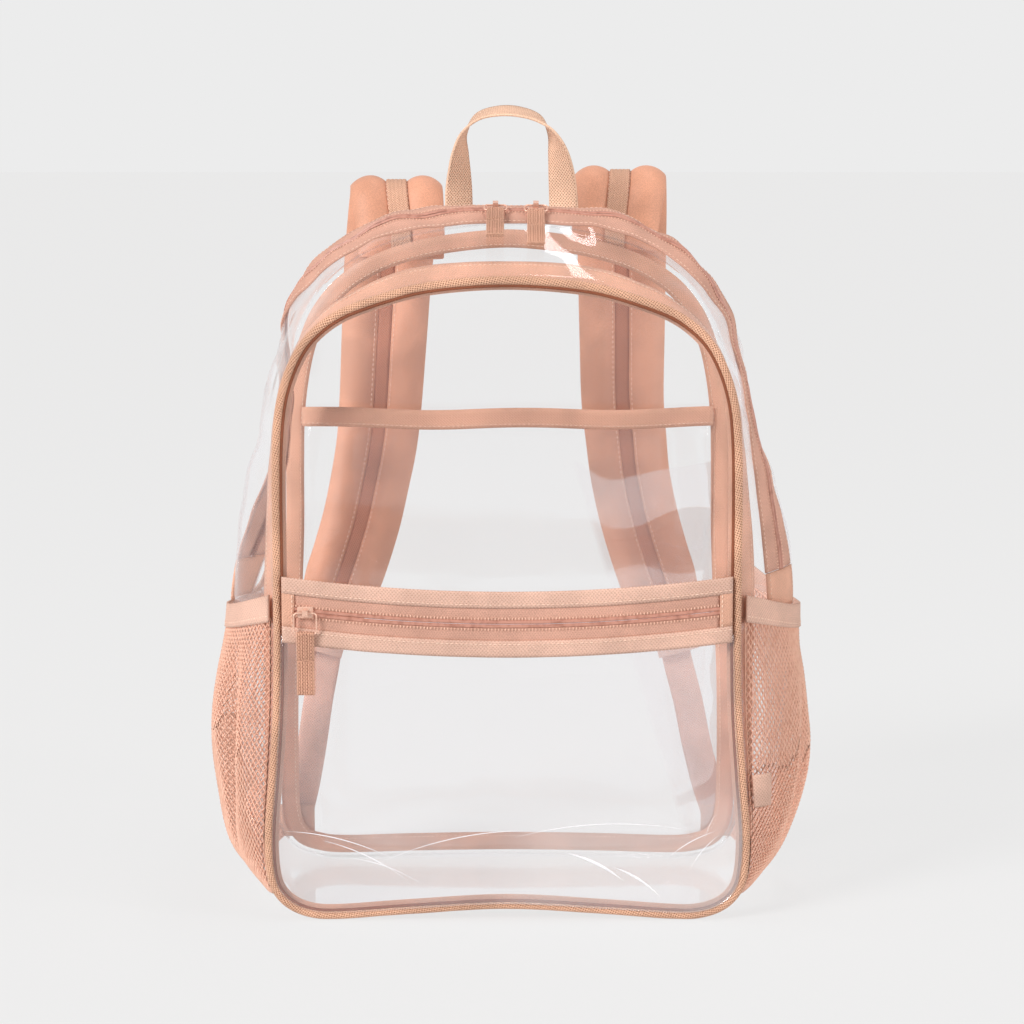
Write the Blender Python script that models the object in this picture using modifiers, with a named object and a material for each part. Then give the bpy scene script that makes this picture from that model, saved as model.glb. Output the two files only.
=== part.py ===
"""Clear stadium backpack: a see-through bag with a piped front, a zipped front pocket, a zipped
gusset, net side pockets, a grab handle and padded shoulder straps.

Metres, +Z up. The front faces -Y, and the bag stands on z = 0 with its middle at the origin.
"""

from collections import namedtuple
from math import cos, exp, pi, radians, sin

import bmesh
import bpy
from mathutils import Matrix, Vector

# Overall sizes of the bag
FRONT_WIDTH = 0.304
FRONT_HEIGHT = 0.406
CROWN_WIDTH = 0.370
CROWN_HEIGHT = 0.447
REAR_WIDTH = 0.312
REAR_HEIGHT = 0.432
DEPTH = 0.140

# Walls and gaps
SHEET = 0.0012
TAPE = 0.0012
BINDING = 0.0016
CLEAR = 0.0004
WELD = 0.00001

# Seams
PIPING_RADIUS = 0.0027
FRONT_BINDING_WIDTH = 0.0105
FRONT_BINDING_LIP = 0.0060
REAR_BINDING_WIDTH = 0.0120

# The gusset's section from front seam to rear seam
CROWN_PLACE = 0.45
GUSSET_ROUNDNESS = 1.6

# Front and back panels
FRONT_CROWN = 0.004
BACK_CROWN = 0.002

# Main zip
ZIP_WIDTH = 0.030
COIL_WIDTH = 0.0044
COIL_HEIGHT = 0.0020
ZIP_END_LENGTH = 0.026
SLIDER_SPREAD = 0.0254
SLIDER_MIDDLE = 0.0055

# Front pocket, its heights measured at the middle of the bag
POCKET_STANDOFF = 0.0016
POCKET_FULLNESS = 0.0060
POCKET_BAND_TOP = 0.2127
POCKET_BAND_SAG = 0.0105
POCKET_BINDING_WIDTH = 0.0105
POCKET_TAPE_WIDTH = 0.0071
POCKET_END_WIDTH = 0.0080
POCKET_SLIDER_X = -0.1260

# Sleeve inside the back
SLEEVE_HEIGHT = 0.312
SLEEVE_WIDTH = 0.274
SLEEVE_FULLNESS = 0.0100
SLEEVE_TAPE_WIDTH = 0.0130

# Side pockets
SIDE_POCKET_HEIGHT = 0.188
SIDE_POCKET_FULLNESS = 0.0190
SIDE_BAND_WIDTH = 0.0135
SIDE_POCKET_FOOT = 0.014
LABEL_WIDTH = 0.0100
LABEL_HEIGHT = 0.0220
LABEL_FOOT = 0.0725

# Grab handle
HANDLE_SPAN = 0.0680
HANDLE_RISE = 0.0620
HANDLE_WEBBING = 0.0200
HANDLE_THICKNESS = 0.0018
HANDLE_DEPTH = 0.0240
HANDLE_SEAT = 0.0010

# Shoulder straps
STRAP_LENGTH = 0.306
LEFT_STRAP_SHARE = 0.978
STRAP_WIDTH = 0.059
STRAP_THICKNESS = 0.013
STRAP_SPREAD = 0.0840
STRAP_REACH = 0.0470
STRAP_WEBBING = 0.0130
WEBBING_LIFT = 0.25
STRAP_FOOT = 0.160
STRAP_TUCK = 0.002
LOWER_WEBBING = 0.0200
WEBBING_THICKNESS = 0.0016
BUCKLE_WIDTH = 0.0280
BUCKLE_HEIGHT = 0.0220
BUCKLE_THICKNESS = 0.0030
ANCHOR_WIDTH = 0.0240
ANCHOR_HEIGHT = 0.0220
ANCHOR_X = 0.1440
ANCHOR_FOOT = 0.0160

# Sliders and their pullers
SLIDER_LENGTH = 0.0100
SLIDER_WIDTH = 0.0075
SLIDER_THICKNESS = 0.0022
TUNNEL = 0.0022
BRIDGE_WALL = 0.0010
BRIDGE_LENGTH = 0.0034
WIRE = 0.0012
MAIN_LOOP_LENGTH = 0.0075
POCKET_LOOP_LENGTH = 0.0135
LOOP_WIDTH = 0.0141
MAIN_LEFT_TILT = 2
MAIN_RIGHT_TILT = 9
TAB_LENGTH = 0.0385
TAB_WIDTH = LOOP_WIDTH - 3 * WIRE
TAB_THICKNESS = 0.0028
TAB_PLY = 0.0010

# The three outlines from the middle of the bottom up the right side to the middle of the top.
# front, crown and rear are half widths and heights, as shares of the sizes above; the zip
# columns place its coil as shares of half the depth.
Station = namedtuple(
    "Station", "front_x front_z crown_right crown_left crown_z rear_x rear_z zip_right zip_left"
)
STATIONS = [
    Station(0.000, 0.023, 0.000, 0.000, -0.020, 0.000, 0.014, 0.00, 0.00),
    Station(0.395, 0.015, 0.330, 0.330, -0.020, 0.397, 0.012, 0.00, 0.00),
    Station(0.691, 0.007, 0.605, 0.605, -0.020, 0.705, 0.009, 0.00, 0.00),
    Station(0.816, 0.009, 0.735, 0.730, -0.012, 0.827, 0.013, 0.00, 0.00),
    Station(0.908, 0.023, 0.827, 0.816, 0.010, 0.917, 0.025, 0.00, 0.00),
    Station(0.967, 0.048, 0.886, 0.870, 0.038, 0.971, 0.049, 0.00, 0.00),
    Station(0.990, 0.084, 0.919, 0.903, 0.074, 0.994, 0.081, 0.00, 0.00),
    Station(0.993, 0.143, 0.941, 0.924, 0.130, 1.000, 0.134, -0.10, 0.00),
    Station(0.974, 0.227, 0.962, 0.941, 0.210, 1.000, 0.215, -0.25, 0.00),
    Station(0.954, 0.333, 0.984, 0.957, 0.309, 0.994, 0.317, -0.35, 0.00),
    Station(0.947, 0.443, 1.000, 0.968, 0.414, 0.978, 0.421, -0.44, 0.02),
    Station(0.947, 0.562, 0.997, 0.954, 0.515, 0.965, 0.532, -0.50, 0.18),
    Station(0.947, 0.677, 0.935, 0.914, 0.609, 0.962, 0.639, -0.51, 0.36),
    Station(0.941, 0.759, 0.865, 0.862, 0.689, 0.955, 0.718, -0.48, 0.44),
    Station(0.921, 0.820, 0.824, 0.827, 0.754, 0.929, 0.787, -0.38, 0.40),
    Station(0.872, 0.874, 0.797, 0.795, 0.801, 0.891, 0.838, -0.26, 0.26),
    Station(0.803, 0.914, 0.762, 0.762, 0.846, 0.833, 0.882, -0.16, 0.10),
    Station(0.691, 0.947, 0.686, 0.686, 0.902, 0.728, 0.926, -0.16, -0.04),
    Station(0.546, 0.969, 0.562, 0.562, 0.953, 0.571, 0.961, -0.17, -0.12),
    Station(0.368, 0.988, 0.378, 0.389, 0.989, 0.385, 0.983, -0.17, -0.16),
    Station(0.184, 0.997, 0.184, 0.195, 0.999, 0.192, 0.995, -0.17, -0.17),
    Station(0.000, 1.000, 0.000, 0.000, 1.000, 0.000, 1.000, -0.17, -0.17),
]
TOP = len(STATIONS) - 1
ROUND = 2 * TOP

# Dents of the gusset: station round the bag, place across as a share of half the depth, reach
# along in stations, reach across as a share of half the depth, and depth as a share of DEPTH.
Dent = namedtuple("Dent", "station across reach_along reach_across depth")
DENTS = [
    Dent(ROUND - 12.3, 0.50, 2.6, 0.42, 0.190),
    Dent(13.0, 0.50, 2.0, 0.40, 0.030),
    Dent(TOP + 4.0, -0.50, 1.2, 0.22, 0.014),
    Dent(TOP - 3.5, -0.55, 1.4, 0.22, 0.016),
    Dent(4.6, -0.50, 1.4, 0.40, 0.030),
    Dent(ROUND - 4.6, -0.45, 1.4, 0.40, 0.040),
]

# How far each side pocket's net stands off the gusset, as shares of SIDE_POCKET_FULLNESS at
# heights given as shares of SIDE_POCKET_HEIGHT
PocketStep = namedtuple("PocketStep", "height right left")
POCKET_ROUTE = [
    PocketStep(0.07, 0.05, 0.10),
    PocketStep(0.14, 0.28, 0.55),
    PocketStep(0.24, 0.52, 0.74),
    PocketStep(0.37, 0.86, 0.72),
    PocketStep(0.53, 1.00, 0.82),
    PocketStep(0.68, 0.72, 0.79),
    PocketStep(0.82, 0.50, 0.62),
    PocketStep(0.95, 0.30, 0.40),
    PocketStep(1.10, 0.20, 0.30),
]

# Route of the handle's webbing: place along its span, rise, and turn of its face from the front
HandleStep = namedtuple("HandleStep", "along rise turn")
HANDLE_ROUTE = [
    HandleStep(-0.46, 0.00, 148),
    HandleStep(-0.46, 0.19, 144),
    HandleStep(-0.455, 0.38, 132),
    HandleStep(-0.445, 0.57, 118),
    HandleStep(-0.41, 0.77, 98),
    HandleStep(-0.28, 0.94, 80),
    HandleStep(-0.08, 1.00, 75),
    HandleStep(0.12, 0.99, 75),
    HandleStep(0.30, 0.92, 80),
    HandleStep(0.42, 0.77, 102),
    HandleStep(0.485, 0.55, 128),
    HandleStep(0.52, 0.28, 146),
    HandleStep(0.535, 0.00, 154),
]

# Route of each padded strap from its root at the rear seam: height as a share of STRAP_LENGTH
# above its lower end, sideways places as shares of STRAP_SPREAD, distance behind the back panel
# as a share of STRAP_REACH, width as a share of STRAP_WIDTH and thickness of STRAP_THICKNESS
StrapStep = namedtuple("StrapStep", "height right left behind width thickness")
STRAP_ROUTE = [
    StrapStep(0.835, 0.84, 0.84, 0.03, 0.96, 0.30),
    StrapStep(0.885, 0.85, 0.84, 0.10, 0.98, 0.45),
    StrapStep(0.935, 0.87, 0.86, 0.27, 1.02, 0.75),
    StrapStep(0.975, 0.89, 0.88, 0.44, 1.05, 0.95),
    StrapStep(0.990, 0.90, 0.89, 0.66, 1.05, 1.00),
    StrapStep(0.965, 0.91, 0.90, 0.86, 1.05, 1.00),
    StrapStep(0.905, 0.92, 0.93, 0.97, 1.04, 1.00),
    StrapStep(0.800, 0.925, 0.97, 1.00, 1.02, 1.00),
    StrapStep(0.640, 0.93, 1.005, 0.98, 0.99, 1.00),
    StrapStep(0.500, 0.935, 1.035, 0.92, 0.96, 1.00),
    StrapStep(0.410, 0.965, 1.065, 0.87, 0.94, 1.00),
    StrapStep(0.325, 1.00, 1.12, 0.82, 0.92, 1.00),
    StrapStep(0.235, 1.07, 1.19, 0.76, 0.91, 1.00),
    StrapStep(0.150, 1.16, 1.28, 0.70, 0.90, 1.00),
    StrapStep(0.085, 1.24, 1.36, 0.65, 0.88, 0.95),
    StrapStep(0.030, 1.30, 1.42, 0.60, 0.76, 0.75),
    StrapStep(0.000, 1.33, 1.45, 0.58, 0.48, 0.40),
]

# Route of the webbing from the pad's end to the anchor: share of the drop, share of the way
# out to the anchor, and share of the way back to the panel
DropStep = namedtuple("DropStep", "drop out back")
DROP_ROUTE = [
    DropStep(0.00, 0.00, 0.00),
    DropStep(0.20, 0.17, 0.00),
    DropStep(0.40, 0.38, 0.26),
    DropStep(0.60, 0.54, 0.56),
    DropStep(0.80, 0.74, 0.84),
    DropStep(0.92, 0.90, 1.00),
    DropStep(1.00, 1.00, 1.00),
]

# Half section of the padded strap: share of the width out from the middle, and share of the
# thickness out from the middle plane
PadPoint = namedtuple("PadPoint", "out lift")
PAD_SECTION = [
    PadPoint(0.00, 0.16),
    PadPoint(0.10, 0.18),
    PadPoint(0.20, 0.44),
    PadPoint(0.34, 0.50),
    PadPoint(0.45, 0.34),
    PadPoint(0.50, 0.00),
]

COLOURS = {
    "clear_sheet": ((0.90, 0.86, 0.88), 0.08, 0.0),
    "cord": ((0.86, 0.62, 0.47), 0.60, 0.0),
    "grosgrain": ((0.80, 0.52, 0.42), 0.70, 0.0),
    "webbing": ((0.80, 0.50, 0.38), 0.75, 0.0),
    "net": ((0.80, 0.55, 0.44), 0.80, 0.0),
    "pad_cloth": ((0.72, 0.40, 0.30), 0.60, 0.0),
    "zip_tape": ((0.70, 0.42, 0.34), 0.75, 0.0),
    "zip_coil": ((0.62, 0.34, 0.27), 0.50, 0.0),
    "slider_metal": ((0.74, 0.48, 0.38), 0.40, 0.3),
    "pull_tab": ((0.80, 0.52, 0.40), 0.65, 0.0),
    "buckle_plastic": ((0.72, 0.44, 0.34), 0.45, 0.0),
}


def clear_scene():
    """Empty the file and make the two collections of the bag."""
    for old in list(bpy.data.objects):
        bpy.data.objects.remove(old, do_unlink=True)
    made = []
    for name in ("clear_backpack", "cutters"):
        collection = bpy.data.collections.new(name)
        bpy.context.scene.collection.children.link(collection)
        made.append(collection)
    return made


PARTS, CUTTERS = clear_scene()


def material(name, finish):
    """A material of the object's own, in one of the bag's finishes."""
    colour, roughness, metallic = COLOURS[finish]
    made = bpy.data.materials.new(name)
    made.use_nodes = True
    shader = made.node_tree.nodes["Principled BSDF"]
    shader.inputs["Base Color"].default_value = (*colour, 1.0)
    shader.inputs["Roughness"].default_value = roughness
    shader.inputs["Metallic"].default_value = metallic
    made.diffuse_color = (*colour, 1.0)
    return made


def add_object(name, bm, finish, place=None, collection=PARTS):
    """Turn a bmesh into a named object with its own material."""
    mesh = bpy.data.meshes.new(name)
    bm.to_mesh(mesh)
    bm.free()
    mesh.shade_smooth()
    mesh.set_sharp_from_angle(angle=radians(40))
    made = bpy.data.objects.new(name, mesh)
    made.data.materials.append(material(name, finish))
    if place is not None:
        made.matrix_world = place
    collection.objects.link(made)
    return made


def add_wall(made, thickness, offset):
    """Give an open surface its thickness; offset -1 grows it inwards and 0 to both sides."""
    wall = made.modifiers.new("wall", "SOLIDIFY")
    wall.thickness = thickness
    wall.offset = offset
    wall.use_even_offset = True
    return made


def grid_of(columns, rows, point, close_columns=False):
    """A grid laid on a surface: point(column, row) gives each vertex's place."""
    bm = bmesh.new()
    bmesh.ops.create_grid(bm, x_segments=columns, y_segments=rows, size=0.5)
    for vertex in bm.verts:
        column = round((vertex.co.x + 0.5) * columns)
        row = round((vertex.co.y + 0.5) * rows)
        if close_columns:
            column %= columns
        vertex.co = point(column, row)
    bmesh.ops.remove_doubles(bm, verts=bm.verts, dist=WELD)
    return bm


def sheet(name, finish, columns, rows, point, wall, offset=-1.0, close_columns=False):
    """A cloth or film wall laid on a surface."""
    bm = grid_of(columns, rows, point, close_columns)
    return add_wall(add_object(name, bm, finish), wall, offset)


def lofted(name, finish, columns, sides, point):
    """A closed body of like sections, point(column, side), with its two ends filled."""
    bm = grid_of(columns, sides, lambda column, side: point(column, side % sides))
    open_edges = [edge for edge in bm.edges if edge.is_boundary]
    bmesh.ops.holes_fill(bm, edges=open_edges)
    bmesh.ops.recalc_face_normals(bm, faces=bm.faces)
    return add_object(name, bm, finish)


def blend(values, place, closed):
    """Smooth value between those of a list, whole places being the list's own."""
    start = int(place // 1)
    share = place - start
    last = len(values) - 1

    def at(index):
        return values[index % len(values)] if closed else values[min(max(index, 0), last)]

    before, here, there, after = (at(start + step) for step in (-1, 0, 1, 2))
    lean = (there - before) / 2
    lean_on = (after - here) / 2
    square = share * share
    cube = square * share
    return (
        here * (2 * cube - 3 * square + 1)
        + lean * (cube - 2 * square + share)
        + there * (3 * square - 2 * cube)
        + lean_on * (cube - square)
    )


def ring_of(right, left):
    """Values round the bag: up the right side, then down the left."""
    up = [right(station) for station in STATIONS]
    down = [left(station) for station in reversed(STATIONS[1:-1])]
    return up + down


FRONT_LOOP = ring_of(
    lambda s: Vector((s.front_x * FRONT_WIDTH / 2, 0, s.front_z * FRONT_HEIGHT)),
    lambda s: Vector((-s.front_x * FRONT_WIDTH / 2, 0, s.front_z * FRONT_HEIGHT)),
)
CROWN_LOOP = ring_of(
    lambda s: Vector((s.crown_right * CROWN_WIDTH / 2, 0, s.crown_z * CROWN_HEIGHT)),
    lambda s: Vector((-s.crown_left * CROWN_WIDTH / 2, 0, s.crown_z * CROWN_HEIGHT)),
)
REAR_LOOP = ring_of(
    lambda s: Vector((s.rear_x * REAR_WIDTH / 2, 0, s.rear_z * REAR_HEIGHT)),
    lambda s: Vector((-s.rear_x * REAR_WIDTH / 2, 0, s.rear_z * REAR_HEIGHT)),
)
ZIP_LOOP = ring_of(lambda s: s.zip_right, lambda s: s.zip_left)
FRONT_Y = -DEPTH / 2
REAR_Y = DEPTH / 2
TOP_STEP = (CROWN_LOOP[TOP - 1] - CROWN_LOOP[TOP]).length
MIDDLE = Vector((0, 0, FRONT_HEIGHT / 2))
GUSSET_FRONT_Y = FRONT_Y + PIPING_RADIUS + CLEAR
GUSSET_REAR_Y = REAR_Y - SHEET - 2 * CLEAR
REAR_BINDING_Y = GUSSET_REAR_Y - SHEET - TAPE


def skin(station, y):
    """The gusset's outer face at a station round the bag and a depth."""
    share = (y - FRONT_Y) / DEPTH
    front = blend(FRONT_LOOP, station, True)
    rear = blend(REAR_LOOP, station, True)
    seam = front.lerp(rear, share)
    crown = blend(CROWN_LOOP, station, True) - front.lerp(rear, CROWN_PLACE)
    reach = CROWN_PLACE if share < CROWN_PLACE else 1 - CROWN_PLACE
    fall = min(abs(share - CROWN_PLACE) / reach, 1.0)
    fullness = 1 - fall**GUSSET_ROUNDNESS
    point = seam + crown * fullness
    inward = (MIDDLE - point).normalized()
    for dent in DENTS:
        along = (station - dent.station + TOP) % ROUND - TOP
        across = y / REAR_Y - dent.across
        fade = exp(-((along / dent.reach_along) ** 2) - (across / dent.reach_across) ** 2)
        point += inward * dent.depth * DEPTH * fade * fullness
    return Vector((point.x, y, max(point.z, 0.0)))


def out_of_skin(station, y):
    """Direction straight out of the gusset."""
    along = skin(station + 0.2, y) - skin(station - 0.2, y)
    step = DEPTH / 100
    across = skin(station, y + step) - skin(station, y - step)
    return along.cross(across).normalized() * -1


def lifted(station, y, height):
    """A point at a height over the gusset's outer face."""
    return skin(station, y) + out_of_skin(station, y) * height


def inset(loop, station, distance):
    """A point of a seam's loop moved into the panel, in the plane of the panel."""
    along = blend(loop, station + 0.2, True) - blend(loop, station - 0.2, True)
    inward = Vector((-along.z, 0, along.x)).normalized()
    return blend(loop, station, True) + inward * distance


def places_between(start, end, extra=()):
    """Stations from start to end, with every whole one between them and any extra ones."""
    places = sorted([*range(-ROUND, 2 * ROUND), *extra])
    return [start, *(place for place in places if start + 0.15 < place < end - 0.15), end]


def station_at_height(height, loop=CROWN_LOOP):
    """The station on the right side where a loop reaches a height."""
    low, high = 4.0, float(TOP - 1)
    for _ in range(40):
        middle = (low + high) / 2
        if blend(loop, middle, True).z < height:
            low = middle
        else:
            high = middle
    return low


def zip_y(station):
    """Depth of the main zip's coil."""
    return blend(ZIP_LOOP, station, True) * REAR_Y


def gusset_patch(name, finish, start, end, low_y, high_y, rows, wall, lift=0.0):
    """A patch of the gusset between two stations and two depths, each a value or a function."""
    stops = places_between(start, end, (ZIP_START, ROUND - ZIP_START))

    def depth(edge, station):
        return edge(station) if callable(edge) else edge

    def point(column, row):
        station = stops[column]
        low, high = depth(low_y, station), depth(high_y, station)
        return lifted(station, low + (high - low) * row / rows, lift)

    return sheet(name, finish, len(stops) - 1, rows, point, wall, 1.0)


SPLIT = station_at_height(SIDE_POCKET_HEIGHT + SIDE_BAND_WIDTH / 2)
ZIP_START = station_at_height(SIDE_POCKET_HEIGHT + SIDE_BAND_WIDTH / 2 + ZIP_END_LENGTH)
STATION_GAP = 0.012


def build_gusset():
    """The clear gusset: one sheet under the zip's ends and two beside the zip."""
    gusset_patch(
        "gusset_lower", "clear_sheet", -SPLIT, SPLIT, GUSSET_FRONT_Y, GUSSET_REAR_Y, 11, SHEET
    )
    half = ZIP_WIDTH / 2 + 2 * CLEAR
    start, end = SPLIT + STATION_GAP, ROUND - SPLIT - STATION_GAP
    gusset_patch(
        "gusset_front", "clear_sheet", start, end, GUSSET_FRONT_Y, lambda s: zip_y(s) - half, 6, SHEET
    )
    gusset_patch(
        "gusset_rear", "clear_sheet", start, end, lambda s: zip_y(s) + half, GUSSET_REAR_Y, 4, SHEET
    )


def build_main_zip():
    """Two tapes, the coil between them and a cover tape at each end."""
    half, coil = ZIP_WIDTH / 2, COIL_WIDTH / 2
    start, end = ZIP_START + STATION_GAP, ROUND - ZIP_START - STATION_GAP
    gusset_patch(
        "main_zip_tape_front", "zip_tape", start, end,
        lambda s: zip_y(s) - half, lambda s: zip_y(s) - coil - CLEAR, 1, TAPE,
    )
    gusset_patch(
        "main_zip_tape_rear", "zip_tape", start, end,
        lambda s: zip_y(s) + coil + CLEAR, lambda s: zip_y(s) + half, 1, TAPE,
    )
    gusset_patch(
        "main_zip_coil", "zip_coil", start, end,
        lambda s: zip_y(s) - coil, lambda s: zip_y(s) + coil, 1, COIL_HEIGHT, COIL_HEIGHT / 4,
    )
    for side, first, last in (
        ("right", SPLIT + STATION_GAP, ZIP_START),
        ("left", ROUND - ZIP_START, ROUND - SPLIT - STATION_GAP),
    ):
        gusset_patch(
            f"main_zip_end_{side}", "grosgrain", first, last,
            lambda s: zip_y(s) - half + CLEAR, lambda s: zip_y(s) + half - CLEAR, 3, BINDING, CLEAR,
        )


def front_y(x, z):
    """Depth of the front panel's outer face."""
    across = min(abs(2 * x / FRONT_WIDTH), 1.0)
    up = min(max(z / FRONT_HEIGHT, 0.0), 1.0)
    return FRONT_Y - FRONT_CROWN * (1 - across**2.5) * sin(pi * up) ** 0.6


def back_y(x, z):
    """Depth of the back panel's outer face."""
    across = min(abs(2 * x / REAR_WIDTH), 1.0)
    up = min(max(z / REAR_HEIGHT, 0.0), 1.0)
    return REAR_Y + BACK_CROWN * (1 - across**2.5) * sin(pi * up)


def panel(name, outline, depth, rings, outwards, wall=SHEET):
    """A panel inside an outline of points, with depth(x, z) giving its outer face."""
    middle = sum(outline, Vector()) / len(outline)

    def point(column, row):
        share = 1 - (row / rings) ** 1.3
        at = middle.lerp(outline[column % len(outline)], share)
        return Vector((at.x, depth(at.x, at.z), at.z))

    made = sheet(name, "clear_sheet", len(outline), rings, point, wall, -outwards, True)
    return made


def build_front_panel():
    """The bag's clear front, from seam to seam."""
    reach = PIPING_RADIUS + CLEAR
    outline = [inset(FRONT_LOOP, station, reach) for station in range(ROUND)]
    panel("front_panel", outline, front_y, 4, 1.0)


def build_back_panel():
    """The bag's clear back."""
    outline = [inset(REAR_LOOP, station, CLEAR) for station in range(ROUND)]
    panel("back_panel", outline, back_y, 3, -1.0)


def build_piping():
    """The corded piping round the front seam."""
    curve = bpy.data.curves.new("front_piping", "CURVE")
    curve.dimensions = "3D"
    curve.bevel_depth = PIPING_RADIUS
    curve.bevel_resolution = 1
    spline = curve.splines.new("POLY")
    spline.points.add(ROUND - 1)
    for station, point in enumerate(spline.points):
        at = FRONT_LOOP[station]
        point.co = (at.x, FRONT_Y, at.z, 1)
    spline.use_cyclic_u = True
    curve.materials.append(material("front_piping", "cord"))
    PARTS.objects.link(bpy.data.objects.new("front_piping", curve))


def build_front_binding():
    """Tape over the front seam's edges: a lip behind the piping, then a leg along the gusset."""
    under = -(SHEET + 2 * CLEAR)

    def point(column, row):
        if row == 0:
            at = inset(FRONT_LOOP, column, FRONT_BINDING_LIP)
            return Vector((at.x, GUSSET_FRONT_Y, at.z))
        depth = (row - 1) * FRONT_BINDING_WIDTH
        return lifted(column, GUSSET_FRONT_Y + depth, under)

    sheet("front_binding", "grosgrain", ROUND, 2, point, TAPE, 1.0, True)


def build_back_binding():
    """Tape over the rear seam's edges, lying flat inside the back."""
    outer = SHEET + 2 * CLEAR

    def point(column, row):
        at = inset(REAR_LOOP, column, outer + row * REAR_BINDING_WIDTH)
        return Vector((at.x, REAR_BINDING_Y, at.z))

    sheet("back_binding", "grosgrain", ROUND, 1, point, TAPE, -1.0, True)


def pocket_band_z(x, drop):
    """Height of a line of the pocket's band, a drop under its top edge."""
    across = 2 * x / FRONT_WIDTH
    return POCKET_BAND_TOP - drop + POCKET_BAND_SAG * across**2


def panel_reach(z):
    """Half width of the space inside the piping at a height."""
    station = station_at_height(z, FRONT_LOOP)
    return blend(FRONT_LOOP, station, True).x - PIPING_RADIUS - CLEAR


def pocket_strip(name, finish, low, high, wall, start=-1.0, end=1.0, lift=0.0):
    """A strip of the pocket's band between two drops, from share to share of its width."""
    columns = 12 if end - start > 1 else 2
    reach = panel_reach(POCKET_BAND_TOP)
    first, last = start * reach, end * reach

    def point(column, row):
        x = first + (last - first) * column / columns
        z = pocket_band_z(x, high + (low - high) * row)
        return Vector((x, front_y(x, z) - POCKET_STANDOFF - lift, z))

    return sheet(name, finish, columns, 1, point, wall, 1.0)


POCKET_BINDING_FOOT = POCKET_BINDING_WIDTH
POCKET_COIL_TOP = POCKET_BINDING_FOOT + 2 * CLEAR + POCKET_TAPE_WIDTH
POCKET_COIL_FOOT = POCKET_COIL_TOP + COIL_WIDTH + 2 * CLEAR
POCKET_LOWER_TOP = POCKET_COIL_FOOT + POCKET_TAPE_WIDTH + CLEAR
POCKET_LOWER_FOOT = POCKET_LOWER_TOP + POCKET_BINDING_WIDTH


def build_pocket_band():
    """Bindings, zip tapes, coil and end tabs across the front."""
    end = 1 - POCKET_END_WIDTH / panel_reach(POCKET_BAND_TOP)
    inner = end - CLEAR / panel_reach(POCKET_BAND_TOP)
    strips = (
        ("pocket_binding_upper", "grosgrain", POCKET_BINDING_FOOT, 0.0, BINDING, 1.0),
        ("pocket_zip_tape_upper", "zip_tape", POCKET_COIL_TOP - CLEAR, POCKET_BINDING_FOOT + CLEAR,
         TAPE, inner),
        ("pocket_zip_coil", "zip_coil", POCKET_COIL_TOP + COIL_WIDTH, POCKET_COIL_TOP,
         COIL_HEIGHT, inner),
        ("pocket_zip_tape_lower", "zip_tape", POCKET_LOWER_TOP - CLEAR, POCKET_COIL_FOOT - CLEAR,
         TAPE, inner),
        ("pocket_binding_lower", "grosgrain", POCKET_LOWER_FOOT, POCKET_LOWER_TOP, BINDING, 1.0),
    )
    for name, finish, low, high, wall, reach in strips:
        pocket_strip(name, finish, low, high, wall, -reach, reach, wall - TAPE)
    low, high = POCKET_LOWER_TOP - CLEAR, POCKET_BINDING_FOOT + CLEAR
    pocket_strip("pocket_end_left", "grosgrain", low, high, BINDING, -1.0, -end, BINDING - TAPE)
    pocket_strip("pocket_end_right", "grosgrain", low, high, BINDING, end, 1.0, BINDING - TAPE)


def pocket_y(x, z):
    """Depth of the front pocket's outer face."""
    top = pocket_band_z(x, POCKET_LOWER_FOOT)
    up = min(max(z / top, 0.0), 1.0)
    across = min(abs(2 * x / FRONT_WIDTH), 1.0)
    return front_y(x, z) - POCKET_STANDOFF - POCKET_FULLNESS * sin(pi * up) * (1 - across**3)


def build_pocket_panel():
    """The pocket's clear outer panel, under the band."""
    reach = PIPING_RADIUS + CLEAR
    edge = POCKET_LOWER_FOOT + CLEAR
    top = station_at_height(pocket_band_z(panel_reach(POCKET_BAND_TOP), edge), FRONT_LOOP)
    outline = [inset(FRONT_LOOP, station % ROUND, reach) for station in places_between(-top, top)]
    right = outline[-1].x
    for share in (0.75, 0.5, 0.25, 0.0, -0.25, -0.5, -0.75):
        x = right * share
        outline.append(Vector((x, 0, pocket_band_z(x, edge))))
    panel("pocket_panel", outline, pocket_y, 3, 1.0)


def build_sleeve():
    """A clear sleeve against the back, its mouth bound with tape."""
    edge_y = REAR_BINDING_Y - CLEAR - TAPE
    foot = REAR_LOOP[0].z + REAR_BINDING_WIDTH / 2
    head = SLEEVE_HEIGHT - SLEEVE_TAPE_WIDTH

    def at(column, columns, z):
        across = 2 * column / columns - 1
        full = (1 - across**4) * min(z / head, 1.0) ** 0.5
        narrow = 1 - 0.10 * (1 - min(z / head, 1.0)) ** 2
        return Vector((across * narrow * SLEEVE_WIDTH / 2, edge_y - SLEEVE_FULLNESS * full, z))

    def clear_point(column, row):
        return at(column, 12, foot + (head - CLEAR - foot) * row / 4)

    def tape_point(column, row):
        return at(column, 12, head + SLEEVE_TAPE_WIDTH * row)

    sheet("sleeve_panel", "clear_sheet", 12, 4, clear_point, SHEET)
    sheet("sleeve_binding", "grosgrain", 12, 1, tape_point, TAPE)


def pocket_stand_off(side, height):
    """How far a side pocket's net stands off the gusset at a height."""
    share = height / SIDE_POCKET_HEIGHT
    steps = [(step.height, step.right if side > 0 else step.left) for step in POCKET_ROUTE]
    share = min(max(share, steps[0][0]), steps[-1][0])
    for (low, before), (high, after) in zip(steps, steps[1:]):
        if share <= high:
            part = (share - low) / (high - low)
            return SIDE_POCKET_FULLNESS * (before + (after - before) * part)
    return SIDE_POCKET_FULLNESS * steps[-1][1]


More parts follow.
